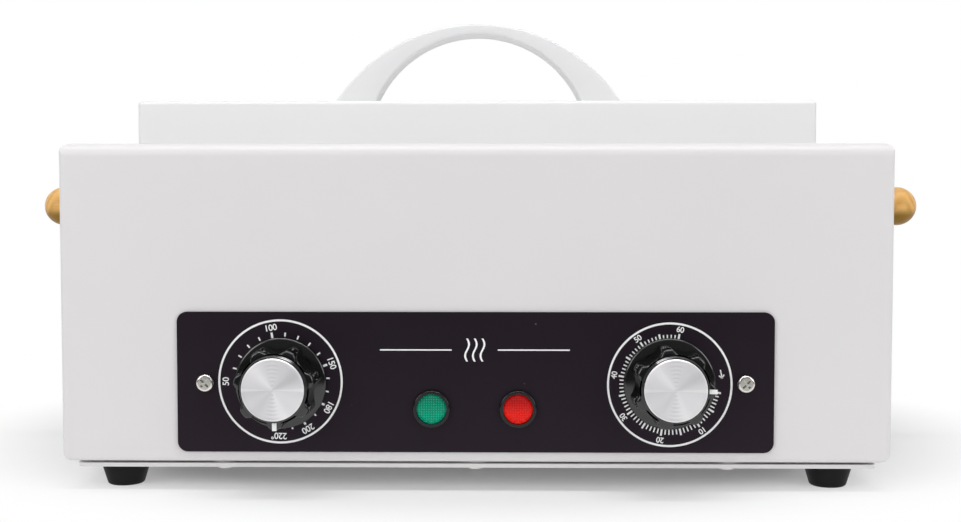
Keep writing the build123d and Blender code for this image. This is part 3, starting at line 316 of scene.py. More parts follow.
def studio_paper():
    """Pale paper that is partly plain white to the camera and to mirrors, up to its front edge."""
    finish = Finish("studio_paper", paper_white, 0.9)
    across, depth, _ = finish.axes(finish.place())
    mirror = finish.seen_by("Glossy")
    behind = depth - shadow_middle
    far = (across * across + behind * behind * shadow_squeeze) ** 0.5
    away = far.above(shadow_reach, shadow_fade)
    paper_part = depth.above(paper_edge, 60)
    to_camera = finish.seen_by("Camera") * (away * (1 - white_under_shadow) + white_under_shadow)
    share = to_camera + mirror * paper_part * white_in_mirrors
    glow = finish.node("ShaderNodeEmission", {}, {"Color": white})
    dark_table = mirror * (1 - paper_part)
    finish.set("Base Color", finish.blend(dark_table, paper_white, table_black))
    body = Wire(finish, finish.surface.outputs[0])
    mixed = finish.node("ShaderNodeMixShader", {}, (share, body, glow))
    finish.feed(finish.tree.nodes["Material Output"].inputs["Surface"], mixed)
    return finish.material


floor_shape = bmesh.new()
bmesh.ops.create_grid(floor_shape, x_segments=8, y_segments=8, size=floor_size)
floor_mesh = bpy.data.meshes.new("floor")
floor_shape.to_mesh(floor_mesh)
floor_shape.free()
floor_mesh.materials.append(studio_paper())
floor = bpy.data.objects.new("floor", floor_mesh)
bpy.context.scene.collection.objects.link(floor)
print("the paper ends", -paper_edge, "mm in front of the origin")

# %% [markdown]
# ## White powder coat
#
# The case and lid are steel sheet with a baked powder coat. Up close it is not quite flat: the
# powder melts into shallow waves about a millimetre wide, and large panels vary slightly in tone.
# The lid gets a lighter, cooler copy of the case's coat, which is painted light.
# A fine noise feeds the bump, and a broad one moves the colour by a few parts in a hundred. A few
# dark nicks sit on the case's front top edge, so small specks are let through only there.

# %% Powder coat
case_low, case_high = corners_of("outer_case")


def powder_coat(name, dark, light):
    finish = Finish(name, light, 0.33)
    point = finish.place()
    broad = finish.cloud(point, 90.0)
    coat = finish.blend(broad, dark, light)
    _, depth, height = finish.axes(point)
    top_edge = height.above(case_high.z - 2.1, 0.8) * (1 - height.above(case_high.z + 0.5, 0.4))
    front_edge = 1 - depth.above(case_low.y + 5.5, 2)
    nicks = finish.specks(point, 15.0, 1.0) * top_edge * front_edge
    finish.set("Base Color", finish.blend(nicks * 0.8, coat, (0.12, 0.11, 0.11)))
    finish.set("Roughness", 0.30 + 0.08 * broad)
    finish.bump(finish.cloud(point, 1.4, 1.0), 0.012)
    return finish.material


def moulded_white():
    """The handle: smooth moulded plastic with the faintest grain."""
    finish = Finish("moulded_white", (0.79, 0.79, 0.795), 0.3)
    point = finish.place()
    finish.set("Roughness", 0.27 + 0.1 * finish.cloud(point, 25.0))
    finish.bump(finish.cloud(point, 0.5, 1.0), 0.003)
    return finish.material


# %% [markdown]
# ## Black panel, black plastic and rubber
#
# Three blacks lie side by side, and only their gloss tells them apart. The panel is a printed
# plate with a satin varnish and a few specks of dust, the knobs are polished plastic that mirrors
# the studio, with duller bezels round the lamps, and the feet are rubber that swallows the light.
# So all of them get nearly the same dark colour, and the work goes into roughness, a trace of
# purple in the ink, and the dust.


# %% Blacks
def printed_panel():
    finish = Finish("printed_panel", (0.008, 0.006, 0.008), 0.42, Specular_IOR_Level=0.25,
                    Specular_Tint=(1, 0.78, 1, 1))
    point = finish.place()
    dust = finish.specks(point, 14.0, 0.28) * finish.cloud(point, 30.0).above(0.5, 0.1)
    ink = finish.blend(finish.cloud(point, 60.0), (0.0075, 0.005, 0.008), (0.0095, 0.0065, 0.010))
    finish.set("Base Color", finish.blend(dust * 0.55, ink, (0.2, 0.19, 0.2)))
    finish.set("Roughness", 0.36 + 0.1 * finish.cloud(point, 18.0))
    finish.bump(finish.cloud(point, 0.6, 1.0), 0.006)
    return finish.material


def polished_black(name, roughness, gloss):
    finish = Finish(name, (0.004, 0.004, 0.0045), roughness, Specular_IOR_Level=gloss)
    point = finish.place()
    finish.set("Roughness", roughness * (0.7 + 0.6 * finish.cloud(point, 6.0)))
    finish.bump(finish.cloud(point, 2.5, 1.0), 0.004)
    return finish.material


def foot_rubber():
    finish = Finish("foot_rubber", (0.011, 0.0105, 0.0115), 0.55, Specular_IOR_Level=0.12)
    point = finish.place()
    dusty = finish.cloud(point, 5.0)
    finish.set("Base Color", finish.blend(dusty, (0.008, 0.008, 0.009), (0.016, 0.015, 0.016)))
    finish.bump(finish.cloud(point, 0.35, 3.0), 0.02)
    return finish.material


# %% [markdown]
# ## Metals
#
# Bare metal has no colour of its own to speak of: what shows is the room, drawn out along the
# marks that the tool left. Rolled steel has fine straight lines, so its noise is stretched along
# one axis. Fasteners are zinc plated and slightly warm. The heater's sheath has been hot, which
# leaves brown and blue in the oxide.


# %% Metals
def rolled_steel(name, colour, stretch, line=0.25):
    """Sheet metal with fine lines along the axis that is stretched."""
    finish = Finish(name, colour, 0.3, Metallic=1.0)
    lines = finish.cloud(finish.place(stretch), line, 3.0)
    stains = finish.cloud(finish.place(), 22.0, 3.0)
    darker = [0.86 * part for part in colour]
    finish.set("Base Color", finish.blend(stains, darker, colour))
    finish.set("Roughness", 0.20 + 0.16 * lines + 0.08 * stains)
    finish.bump(lines, 0.006)
    return finish.material


def plated(name, colour, roughness):
    """A plated or turned metal with soft, uneven patches."""
    finish = Finish(name, colour, roughness, Metallic=1.0)
    patches = finish.cloud(finish.place(), 1.6, 2.0)
    darker = [0.8 * part for part in colour]
    finish.set("Base Color", finish.blend(patches, darker, colour))
    finish.set("Roughness", roughness * (0.8 + 0.5 * patches))
    return finish.material


def heater_sheath():
    finish = Finish("heater_sheath", (0.36, 0.3, 0.26), 0.42, Metallic=1.0)
    heat = finish.cloud(finish.place((0.3, 1, 1)), 9.0, 3.0)
    warm = finish.blend(heat.above(0.45, 0.25), (0.38, 0.30, 0.22), (0.24, 0.22, 0.27))
    finish.set("Base Color", warm)
    finish.bump(finish.cloud(finish.place(), 0.4, 2.0), 0.02)
    return finish.material


# %% [markdown]
# ## What lies inside
#
# The wool, the ceramic bodies, the nylon gland and the silicone wires are seen only when the lid
# is open or the base is off, yet each is a surface of its own, with its own grain.


# %% Inner finishes
def mineral_wool():
    finish = Finish("mineral_wool", (0.6, 0.54, 0.4), 0.95)
    fibres = finish.cloud(finish.place((1, 0.25, 1), (0.3, 0.4, 0.7)), 0.8, 4.0)
    tufts = finish.cloud(finish.place(), 7.0, 3.0)
    finish.set("Base Color", finish.blend(fibres, (0.42, 0.36, 0.24), (0.72, 0.67, 0.53)))
    finish.bump(fibres * 0.5 + tufts * 0.5, 0.8)
    return finish.material


def grained(name, light, dark, roughness, size, depth):
    """A plain moulded or fired material with a fine grain."""
    finish = Finish(name, light, roughness)
    grain = finish.cloud(finish.place(), size, 3.0)
    finish.set("Base Color", finish.blend(grain, dark, light))
    finish.bump(grain, depth)
    return finish.material


# %% [markdown]
# ## Lacquered wood
#
# The carrying knobs at the sides are turned from a pale golden wood and lacquered. The grain runs
# along the axis that they were turned on, which is the X axis here, so the noise is stretched
# along X, and rings round a line just above the axis give the end grain on the crown of the ball.
# The colour also darkens the lower part of each ball to olive brown, which is painted shade.

# %% Wood
heart_offset = 2.0


def lacquered_wood():
    finish = Finish("lacquered_wood", (0.62, 0.34, 0.1), 0.35, Coat_Weight=0.12,
                    Coat_Roughness=0.08, Specular_IOR_Level=0.2)
    point = finish.place(centre=(0, *middle_of("side_knob_left").yz))
    streaks = finish.cloud(finish.place((0.08, 1, 1)), 0.9, 3.0)
    _, depth, height = finish.axes(point)
    over_heart = height - heart_offset
    radius = (depth * depth + over_heart * over_heart) ** 0.5
    rings = (radius * 3.4 + streaks * 3.0).wave()
    grain = rings * 0.45 + streaks * 0.55
    golden = finish.blend(grain, (0.60, 0.30, 0.065), (0.94, 0.56, 0.19))
    # Painted shade: the lower part of each ball is darkened to olive brown.
    painted_underside_shade = 1 - height.above(-2.4, 4.4)
    finish.set("Base Color", finish.blend(painted_underside_shade * 0.92, golden, (0.24, 0.125, 0.004)))
    finish.bump(streaks, 0.01)
    return finish.material


# %% [markdown]
# ## Steel that has been hot
#
# The chamber is the same stainless sheet as the tray, but its floor lies over the heater. There the
# steel has taken on a straw brown tint, which fades up the walls, so that the tray's bright sheet
# and the row of its holes stand out against it.


# %% Heated steel
def heated_steel():
    finish = Finish("heated_steel", (0.5, 0.48, 0.44), 0.32, Metallic=1.0)
    point = finish.place()
    stains = finish.cloud(point, 26.0, 4.0)
    _, _, height = finish.axes(point)
    chamber_floor = corners_of("chamber_tank")[0].z
    heat = (1 - height.above(chamber_floor + 16.0, 44.0)) * (stains * 0.5 + 0.6)
    finish.set("Base Color", finish.blend(heat, (0.64, 0.64, 0.63), (0.30, 0.25, 0.18)))
    lines = finish.cloud(finish.place((0.03, 1, 1)), 0.25, 3.0)
    finish.set("Roughness", 0.22 + 0.18 * lines)
    finish.bump(lines, 0.006)
    return finish.material


# %% [markdown]
# ## Lenses that glow
#
# A lamp sits behind each lens, so the lens gives off some light of its own. Its face is a field of
# little pyramids, which are modelled further below. The colour is deep in the hollows between them,
# with a painted highlight dot on each tip, and the lower half is made a little brighter.


# %% Lens finish
facet_pitch = 0.95


def jewel(colour, deep, bright, lower_brightening):
    finish = Finish(f"{colour}_jewel", deep, 0.12, Coat_Weight=0.12, Coat_Roughness=0.05,
                    Specular_IOR_Level=0.12, Emission_Strength=0.5)
    across, _, up = finish.axes(finish.place(centre=middle_of(f"{colour}_lamp_lens")))
    cell = 2 * math.pi / facet_pitch
    # Painted highlight: a bright dot on each pyramid's tip, in the colour and the glow, and the
    # lower half made brighter.
    tips = (across * cell + math.pi / 2).wave() * (up * cell + math.pi / 2).wave()
    glow = tips.above(0.55, 0.5) * 0.6 + (1 - up.above(0.5, 6.0)) * lower_brightening
    colour_with_painted_highlights = finish.blend(glow, deep, bright)
    finish.set("Base Color", colour_with_painted_highlights)
    finish.set("Emission Color", colour_with_painted_highlights)
    return finish.material


# %% [markdown]
# ## Dressing the solids
#
# Each solid of the CAD model belongs to a slot that says what it is made of, and one table gives
# each slot its finish. The solids could be dressed one by one, but the table shows at a glance what
# is made of what. Two solids differ from the rest of their slot and are dressed on their own: the
# chamber, which has been hot, and the lid, whose coat is painted a touch lighter than the case's as
# painted light.

# %% Dress every solid
finishes = {
    "case_paint": powder_coat("white_powder_coat", (0.745, 0.724, 0.727), (0.77, 0.753, 0.756)),
    "handle_plastic": moulded_white(),
    "panel_black": printed_panel(),
    "knob_black": polished_black("knob_black", 0.09, 0.82),
    "bezel_black": polished_black("bezel_black", 0.12, 0.4),
    "spun_aluminium": plated("aluminium", (0.85, 0.85, 0.86), 0.25),
    "green_lens": jewel("green", (0.0, 0.12, 0.065), (0.0, 0.45, 0.27), 0.15),
    "red_lens": jewel("red", (0.26, 0.0, 0.0), (0.62, 0.012, 0.006), 0.6),
    "foot_rubber": foot_rubber(),
    "knob_wood": lacquered_wood(),
    "stainless": rolled_steel("stainless_sheet", (0.66, 0.66, 0.65), (0.03, 1, 1)),
    "zinc_screws": plated("zinc_plate", (0.86, 0.84, 0.78), 0.16),
    "hinge_steel": rolled_steel("hinge_steel", (0.7, 0.7, 0.69), (0.05, 1, 1)),
    "brass_fittings": plated("brass", (0.76, 0.58, 0.28), 0.28),
    "heater_sheath": heater_sheath(),
    "mineral_wool": mineral_wool(),
    "control_bodies": grained("ceramic", (0.8, 0.78, 0.72), (0.74, 0.72, 0.65), 0.55, 0.5, 0.03),
    "timer_case": rolled_steel("pressed_steel", (0.6, 0.6, 0.6), (1, 0.05, 1)),
    "gland_nylon": grained("nylon", (0.02, 0.02, 0.021), (0.012, 0.012, 0.013), 0.45, 0.6, 0.02),
    "wire_covering": grained("silicone", (0.5, 0.06, 0.045), (0.4, 0.04, 0.03), 0.5, 1.2, 0.01),
}
for entry in frame["record"]["subparts"]:
    surface = nodes[entry["node"]].data.materials
    surface.clear()
    surface.append(finishes[entry["material_slot"]])
nodes["chamber_tank"].data.materials[0] = heated_steel()
# Painted light: the lid's coat is the case's paint, made lighter and cooler.
lid_coat_painted_lighter = powder_coat("lid_powder_coat_painted_lighter", (0.819, 0.814, 0.814), (0.845, 0.84, 0.84))
nodes["lid_shell"].data.materials[0] = lid_coat_painted_lighter
print("finishes:", len(finishes) + 2)

# %% [markdown]
# ## Making pieces
#
# Every new piece starts as a bmesh, is shaped with operators in its own simple place, and is then
# turned and moved as a whole to where it belongs, so that its object stays at the origin. The
# helpers below do that. Round pieces are turned from a profile, as on a lathe. The profile rounds
# or chamfers the corners that show, because no real edge is perfectly sharp, and the bright line on
# it is what the eye sees.


# %% Helpers for pieces
def turned(points, segments=72):
    """A round solid on the Z axis from its profile: pairs of radius and height in millimetres."""
    shape = bmesh.new()
    dots = [shape.verts.new((radius * mm, 0, height * mm)) for radius, height in points]
    edges = [shape.edges.new(pair) for pair in zip(dots, dots[1:])]
    bmesh.ops.spin(shape, geom=dots + edges, cent=(0, 0, 0), axis=(0, 0, 1),
                   angle=2 * math.pi, steps=segments, use_merge=True)
    bmesh.ops.remove_doubles(shape, verts=shape.verts, dist=1e-7)
    bmesh.ops.recalc_face_normals(shape, faces=shape.faces)
    return shape


def arc(middle, radius, first, last, steps):
    """Points on an arc round a middle, from one angle in degrees to another."""
    angles = [math.radians(first + (last - first) * step / steps) for step in range(steps + 1)]
    return [(middle[0] + radius * math.cos(angle), middle[1] + radius * math.sin(angle))
            for angle in angles]


def finish_piece(name, shape, place, body, material, smooth=40):
    """Put a shape in its place, make an object of it, and let it ride on a body."""
    bmesh.ops.transform(shape, matrix=place, verts=shape.verts)
    mesh = bpy.data.meshes.new(name)
    shape.to_mesh(mesh)
    shape.free()
    mesh.materials.append(material)
    mesh.shade_smooth()
    mesh.set_sharp_from_angle(angle=math.radians(smooth))
    piece = bpy.data.objects.new(name, mesh)
    bpy.context.scene.collection.objects.link(piece)
    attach(piece, body)
    return piece


def new_points(grown):
    """The vertices among what an extrusion has made."""
    return [item for item in grown if isinstance(item, bmesh.types.BMVert)]


def moved(x, y=0.0, z=0.0):
    """A matrix that moves by so many millimetres."""
    return Matrix.Translation((x * mm, y * mm, z * mm))


def swung(angle):
    """A matrix that turns round the Z axis by so many degrees."""
    return Matrix.Rotation(math.radians(angle), 4, "Z")


panel_face = corners_of("control_panel")[0].y


def on_panel(x, z, angle=0.0):
    """From the Z axis to a place on the panel's face, turned round that axis by an angle."""
    upright = Matrix.Rotation(math.radians(90), 4, "X")
    return moved(x, panel_face, z) @ upright @ swung(angle)


print("the panel's face lies at", round(panel_face, 2), "mm")

# %% [markdown]
# ## The arched handle
#
# The handle is one flat moulded arch whose outer and inner outlines are two circles with different
# centres, so it is slim at the crown and broad at its feet. It starts as a flat strip. The strip is
# bent by a formula so that one long side follows the outer circle and the other the inner one, then
# it is extruded to the handle's width, and its long edges are rounded for the fingers.

# %% Handle
handle_low, handle_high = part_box("lid_handle")
crown_thickness = 4.7 * mm
inner_radius = 50.0 * mm
handle_edge = 1.1 * mm
bend_steps = 96
rise = handle_high.z - handle_low.z
half_width = (handle_high.x - handle_low.x) / 2
outer_radius = (half_width ** 2 + rise ** 2) / (2 * rise)
inner_rise = rise - crown_thickness

handle_shape = bmesh.new()
strip = bmesh.ops.create_grid(handle_shape, x_segments=bend_steps, y_segments=1, size=1.0)
for vert in strip["verts"]:
    radius, top = (outer_radius, rise) if vert.co.y > 0 else (inner_radius, inner_rise)
    angle = vert.co.x * math.acos((radius - top) / radius)
    vert.co = Vector((radius * math.sin(angle), 0, top - radius + radius * math.cos(angle)))
grown = bmesh.ops.extrude_face_region(handle_shape, geom=list(handle_shape.faces))["geom"]
bmesh.ops.translate(handle_shape, vec=(0, handle_high.y - handle_low.y, 0),
                    verts=new_points(grown))
bmesh.ops.recalc_face_normals(handle_shape, faces=handle_shape.faces)
long_edges = [edge for edge in handle_shape.edges
              if edge.calc_face_angle(0) > math.radians(60)
              and max(vert.co.z for vert in edge.verts) > 0.1 * mm]
bmesh.ops.bevel(handle_shape, geom=long_edges, offset=handle_edge, offset_type="OFFSET",
                segments=4, profile=0.5, affect="EDGES", material=-1)
handle_middle = (handle_low.x + handle_high.x) / 2
handle = finish_piece("arched_handle", handle_shape,
                      Matrix.Translation((handle_middle, handle_low.y, handle_low.z)),
                      "lid", finishes["handle_plastic"])
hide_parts("lid_handle")
print("handle radii in mm:", round(outer_radius / mm, 1), round(inner_radius / mm, 1))

# %% [markdown]
# ## Knobs
#
# The knobs are moulded in black plastic: a thin round rim, and on it a grip with seven hollow
# flutes that narrows slightly upwards. The grip could be cut out of a cylinder, but that leaves a
# ragged mesh. Here it grows from a circle of points instead: each point is drawn in to the flute's
# arc, the ring is extruded upwards in steps, and the last steps gather it to the round collar.

# %% Knob sizes
pointer_angles = {"temperature": -89.0, "timer": -2.4}
dials = {dial: (middle_of(f"{dial}_knob_cap").x, rest) for dial, rest in pointer_angles.items()}
dial_height = middle_of("timer_knob_cap").z
grip_radius = 16.2
flute_count = 7
points_per_flute = 28
flute_radius = 7.5
flute_centre = 20.9
grip_foot = 1.4
grip_top = 17.6
grip_taper = 0.64
grip_edge_height = 1.1
grip_edge_inset = 0.85
shoulder_radius = 13.4
collar_radius = 12.6
collar_foot = 0.15
collar_edge = 0.25
knob_height = 19.4
seat_radius = 12.0
seat_height = 19.0
rim_radius = 17.9
rim_bottom = 0.5
rim_top = 2.2
rim_lower_edge = 0.4
rim_upper_edge = 0.9
cavity_radius = 11.4
cavity_top = 7.7


def flute_reach(angle):
    """How far from the middle the grip's outline lies at an angle."""
    step = 2 * math.pi / flute_count
    from_flute = (angle % step) - step / 2
    side = flute_radius ** 2 - (flute_centre * math.sin(from_flute)) ** 2
    if side <= 0:
        return grip_radius
    return min(grip_radius, flute_centre * math.cos(from_flute) - math.sqrt(side))


# %% Knob
def grow(shape, edges, height, shrink=0.0, gather=None):
    """Extrude a ring of edges to a height, drawn in by a width or gathered to a radius."""
    grown = bmesh.ops.extrude_edge_only(shape, edges=edges)["geom"]
    for vert in new_points(grown):
        flat = Vector((vert.co.x, vert.co.y, 0))
        reach = gather * mm if gather else flat.length - shrink * mm
        vert.co = flat.normalized() * reach + Vector((0, 0, height * mm))
    return [item for item in grown if isinstance(item, bmesh.types.BMEdge)]


def knob_shape():
    """The fluted grip with its collar, the seat for the spun cap and the hollow below."""
    shape = bmesh.new()
    ring = bmesh.ops.create_circle(shape, cap_ends=False, radius=1,
                                   segments=flute_count * points_per_flute)["verts"]
    for vert in ring:
        vert.co = vert.co.normalized() * flute_reach(math.atan2(vert.co.y, vert.co.x)) * mm
    for _ in range(3):
        bmesh.ops.smooth_vert(shape, verts=ring, factor=0.5, use_axis_x=True, use_axis_y=True)
    bottom = list(shape.edges)
    bmesh.ops.translate(shape, vec=(0, 0, grip_foot * mm), verts=ring)
    edges = bottom
    straight = grip_top - grip_edge_height - grip_foot
    for step in (1, 2, 3):
        edges = grow(shape, edges, grip_foot + straight * step / 3, grip_taper / 3)
    rounding = arc((0, 0), 1, 0, 90, 3)
    for (last_across, _), (across, up) in zip(rounding, rounding[1:]):
        height = grip_top - grip_edge_height * (1 - up)
        edges = grow(shape, edges, height, grip_edge_inset * (last_across - across))
    collar = [(grip_top, shoulder_radius), (grip_top, collar_radius + collar_foot),
              (grip_top + collar_foot, collar_radius), (knob_height - collar_edge, collar_radius),
              (knob_height, collar_radius - collar_edge), (knob_height, seat_radius + 0.1),
              (seat_height, seat_radius)]
    for height, radius in collar:
        edges = grow(shape, edges, height, gather=radius)
    bmesh.ops.contextual_create(shape, geom=edges)
    hollow = grow(shape, bottom, grip_foot, gather=cavity_radius)
    hollow = grow(shape, hollow, cavity_top, gather=cavity_radius)
    bmesh.ops.contextual_create(shape, geom=hollow)
    bmesh.ops.recalc_face_normals(shape, faces=shape.faces)
    return shape


def rim_shape():
    """The round rim next to the panel, with its hollow back."""
    lower = (rim_radius - rim_lower_edge, rim_bottom + rim_lower_edge)
    upper = (rim_radius - rim_upper_edge, rim_top - rim_upper_edge)
    profile = [(cavity_radius, rim_bottom)]
    profile += arc(lower, rim_lower_edge, -90, 0, 2)
    profile += arc(upper, rim_upper_edge, 0, 90, 3)
    return turned(profile + [(cavity_radius, rim_top), (cavity_radius, rim_bottom)], 144)


for dial, (x, rest) in dials.items():
    shape = knob_shape()
    rim = rim_shape()
    rim_mesh = bpy.data.meshes.new("rim")
    rim.to_mesh(rim_mesh)
    rim.free()
    shape.from_mesh(rim_mesh)
    bpy.data.meshes.remove(rim_mesh)
    knob = finish_piece(f"{dial}_fluted_knob", shape, on_panel(x, dial_height, rest),
                        f"{dial}_dial", finishes["knob_black"])
    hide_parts(f"{dial}_knob")
    print(knob.name, len(knob.data.polygons), "faces")

# %% [markdown]
# ## Spun caps
#
# The silver discs are turned on a lathe with a tool that leaves fine rings. Rings throw the light
# into bright and dark wedges that meet in the middle. The disc is turned here from a profile with
# shallow rings. Its finish varies its roughness with the wedges, and its colour holds a painted
# reflection: the wedges, the rings, a glint along the horizontal and dark arcs above and below the
# middle. The left disc gets painted wedges of more contrast, and the right disc a lighter painted
# level.

# %% Spun aluminium
cap_radius = 11.9
cap_face = 20.0
cap_chamfer = 0.35
raised_edge = 0.6
groove_pitch = 0.5
groove_count = 22
groove_depth = 0.015


def spun_aluminium(x):
    finish = Finish(f"spun_aluminium_{'left' if x < 0 else 'right'}", (0.86, 0.855, 0.87), 0.36,
                    Metallic=1.0)
    across, _, up = finish.axes(finish.place(centre=(x, 0, dial_height)))
    radius = (across * across + up * up) ** 0.5
    angle = across.math("ARCTAN2", up, across)
    # Painted reflection: wedges, rings, a horizontal glint and dark arcs, in the base colour.
    fine_painted_wedges = (angle * 5.0 + 2.0).wave() * 0.25 + (angle * 9.0).wave() * 0.15
    painted_wedges = (angle * 2.0 - 2.79).wave() * 0.6 + fine_painted_wedges
    rings = (radius * 9.0).wave()
    painted_glint = 1 - abs(up / (radius + 0.4)).above(0.05, 0.07)
    upright = 1 - abs(across / (radius + 0.4)).above(0.22, 0.3)
    painted_dark_arcs = (radius * 4.2).wave().above(0.7, 0.5) * upright
    # Each disc gets its own painted contrast and painted lightness.
    contrast, level = (0.5, 0.3) if x < 0 else (0.25, 0.5)
    light = painted_wedges * contrast + rings * 0.1 + painted_glint * 0.5 - painted_dark_arcs * 0.35 + level
    finish.set("Base Color", finish.blend(light, (0.72, 0.704, 0.735), (1.0, 0.99, 1.0)))
    finish.set("Roughness", 0.4 + 0.16 * painted_wedges)
    finish.bump(rings, 0.004)
    return finish.material


def cap_profile():
    """A flat face with shallow rings, a raised edge and a narrow chamfer, from the middle out."""
    flat = cap_face - 2 * groove_depth
    points = [(0.0, flat)]
    for step in range(1, groove_count + 1):
        points.append((step * groove_pitch, flat - groove_depth * (step % 2)))
    edge = [(cap_radius - raised_edge, cap_face), (cap_radius - cap_chamfer, cap_face),
            (cap_radius, cap_face - cap_chamfer), (cap_radius, seat_height), (0.0, seat_height)]
    return points + edge


for dial, (x, _) in dials.items():
    cap = finish_piece(f"{dial}_spun_cap", turned(cap_profile(), 128), on_panel(x, dial_height),
                       f"{dial}_dial", spun_aluminium(x), 20)
    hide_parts(f"{dial}_knob_cap")
    print(cap.name, len(cap.data.polygons), "faces")

# %% [markdown]
# ## White ink
#
# Scales, numbers and pointers are printed or filled in white. Ink has a thickness, a few hundredths
# of a millimetre, and it is modelled as thin slabs rather than as a picture: their edges stay crisp
# from near and far. Each mark is drawn flat in millimetres, lifted a little, and laid on the panel.


# %% Ink marks
def white_ink():
    finish = Finish("white_ink", (0.95, 0.95, 0.95), 0.5)
    cover = finish.cloud(finish.place(), 0.7, 2.0)
    finish.set("Base Color", finish.blend(cover, (0.88, 0.88, 0.88), (0.97, 0.97, 0.97)))
    return finish.material


ink = white_ink()
ink_thickness = 0.04
ink_spread = 0.05


def add_bar(shape, place, length, width):
    """A flat bar along X, in millimetres, put in place by a matrix."""
    size = Matrix.Diagonal((length * mm, width * mm, 1, 1))
    bmesh.ops.create_grid(shape, x_segments=1, y_segments=1, size=0.5, matrix=place @ size)


def add_spoke(shape, angle, inner, outer, width):
    """A bar that points away from the middle of a dial."""
    add_bar(shape, swung(angle) @ moved((inner + outer) / 2), outer - inner, width)


def add_ring(shape, radius, width):
    """A flat ring: two circles of points, joined by faces."""
    edges = []
    for reach in (radius - width / 2, radius + width / 2):
        circle = bmesh.ops.create_circle(shape, cap_ends=False, segments=160, radius=reach * mm)
        edges += list({edge for vert in circle["verts"] for edge in vert.link_edges})
    bmesh.ops.bridge_loops(shape, edges=edges)


def add_text(shape, words, size, place):
    """Numbers in Blender's own typeface, a little bolder, as a flat mesh put in place."""
    letters = bpy.data.curves.new("letters", "FONT")
    letters.body = words
    letters.size = size * mm
    letters.align_x = "CENTER"
    letters.align_y = "CENTER"
    letters.offset = ink_spread * mm
    letters.space_character = 0.95
    holder = bpy.data.objects.new("letters", letters)
    bpy.context.scene.collection.objects.link(holder)
    solved = holder.evaluated_get(bpy.context.evaluated_depsgraph_get())
    mesh = bpy.data.meshes.new_from_object(solved)
    mesh.transform(place)
    shape.from_mesh(mesh)
    bpy.data.objects.remove(holder)
    bpy.data.curves.remove(letters)
    bpy.data.meshes.remove(mesh)


def print_marks(name, shape, place, body="case"):
    """Give flat marks the ink's thickness and lay them in their place."""
    bmesh.ops.recalc_face_normals(shape, faces=shape.faces)
    for face in shape.faces:
        if face.normal.z < 0:
            face.normal_flip()
    grown = bmesh.ops.extrude_face_region(shape, geom=list(shape.faces))["geom"]
    bmesh.ops.translate(shape, vec=(0, 0, ink_thickness * mm), verts=new_points(grown))
    piece = finish_piece(name, shape, place, body, ink, 10)
    print(name, len(piece.data.polygons), "faces")


# %% [markdown]
# ## The two scales
#
# Both scales are read against the knob's pointer. The temperature scale runs clockwise from 50 at
# the left to 220 at the bottom, 1.6 degrees of turn for each degree of heat. The timer's sixty
# minutes run clockwise from the right nearly all the way round. Each number stands with its foot
# towards the middle, so it is turned by its own angle. A mark is given by the radius where it
# starts, the radius where it ends, and its width. In the photograph neither print sits quite on its
# knob's axis, so each scale is shifted by a fraction of a millimetre.

# %% Scales
ring_radius = 24.0
ring_width = 0.8
temperature_shift = (-0.3, 0.5)
timer_shift = (0.2, -0.5)
turn_per_degree = 1.6
turn_per_minute = 4.52
start_of_minutes = -9.2
numbered_degrees = (50, 100, 150, 180, 200, 220)
degree_size = 3.5
degree_radius = 21.3
long_degree_mark = (17.0, 19.5, 0.85)
short_degree_mark = (17.8, 19.3, 0.6)
minute_size = 3.1
minute_radius = 21.85
long_minute_mark = (17.2, 20.2, 0.75)
short_minute_mark = (17.3, 19.6, 0.5)
arrow_angle = start_of_minutes + 21
arrow_lines = ((0, 3.4), (38, 1.6), (-38, 1.6))


def temperature_angle(degrees):
    return 180 - turn_per_degree * (degrees - numbered_degrees[0])


def minute_angle(minutes):
    return start_of_minutes - turn_per_minute * minutes


def number_place(angle, radius):
    """Upright at the top of the dial, and turned with the angle elsewhere."""
    return swung(angle - 90) @ moved(0, radius)


temperature_scale = bmesh.new()
add_ring(temperature_scale, ring_radius, ring_width)
for degrees in numbered_degrees:
    label = f"{degrees}\N{DEGREE SIGN}" if degrees == numbered_degrees[-1] else str(degrees)
    place = number_place(temperature_angle(degrees), degree_radius)
    add_text(temperature_scale, label, degree_size, place)
for degrees in range(60, 220, 10):
    mark = long_degree_mark if degrees in numbered_degrees else short_degree_mark
    add_spoke(temperature_scale, temperature_angle(degrees), *mark)
print_marks("temperature_scale", temperature_scale,
            on_panel(dials["temperature"][0] + temperature_shift[0],
                     dial_height + temperature_shift[1]))

timer_scale = bmesh.new()
add_ring(timer_scale, ring_radius, ring_width)
for minutes in range(61):
    mark = long_minute_mark if minutes % 5 == 0 else short_minute_mark
    add_spoke(timer_scale, minute_angle(minutes), *mark)
for minutes in range(10, 61, 10):
    place = number_place(minute_angle(minutes), minute_radius)
    add_text(timer_scale, str(minutes), minute_size, place)
arrow_tip = swung(arrow_angle) @ moved(20.4, -1.6)
for turned_by, length in arrow_lines:
    line = swung(90 + turned_by) @ moved(length / 2)
    add_bar(timer_scale, arrow_tip @ line, length, 0.5)
print_marks("timer_scale", timer_scale,
            on_panel(dials["timer"][0] + timer_shift[0], dial_height + timer_shift[1]))

# %% [markdown]
# ## Pointers and the mark between the dials
#
# A short white bar on each grip points at its scale and turns with its knob. Between the dials the
# panel shows a general sign for heat, three waving lines between two thin straight ones. A wave
# could be drawn as a curve with a width. Here it is a narrow strip of faces that a sine pushes
# aside, so it is a flat mark like all the others and gets its thickness in the same way.

# %% Pointers and the mark between the dials
pointer_radius = 14.3
pointer_length = 3.1
pointer_width = 1.7
wave_height = 9.0
wave_width = 0.75
wave_sway = 0.75
wave_spacing = 3.0
side_line_length = 28.0
side_line_middle = 23.0
side_line_width = 0.5
heat_mark_height = 56.0

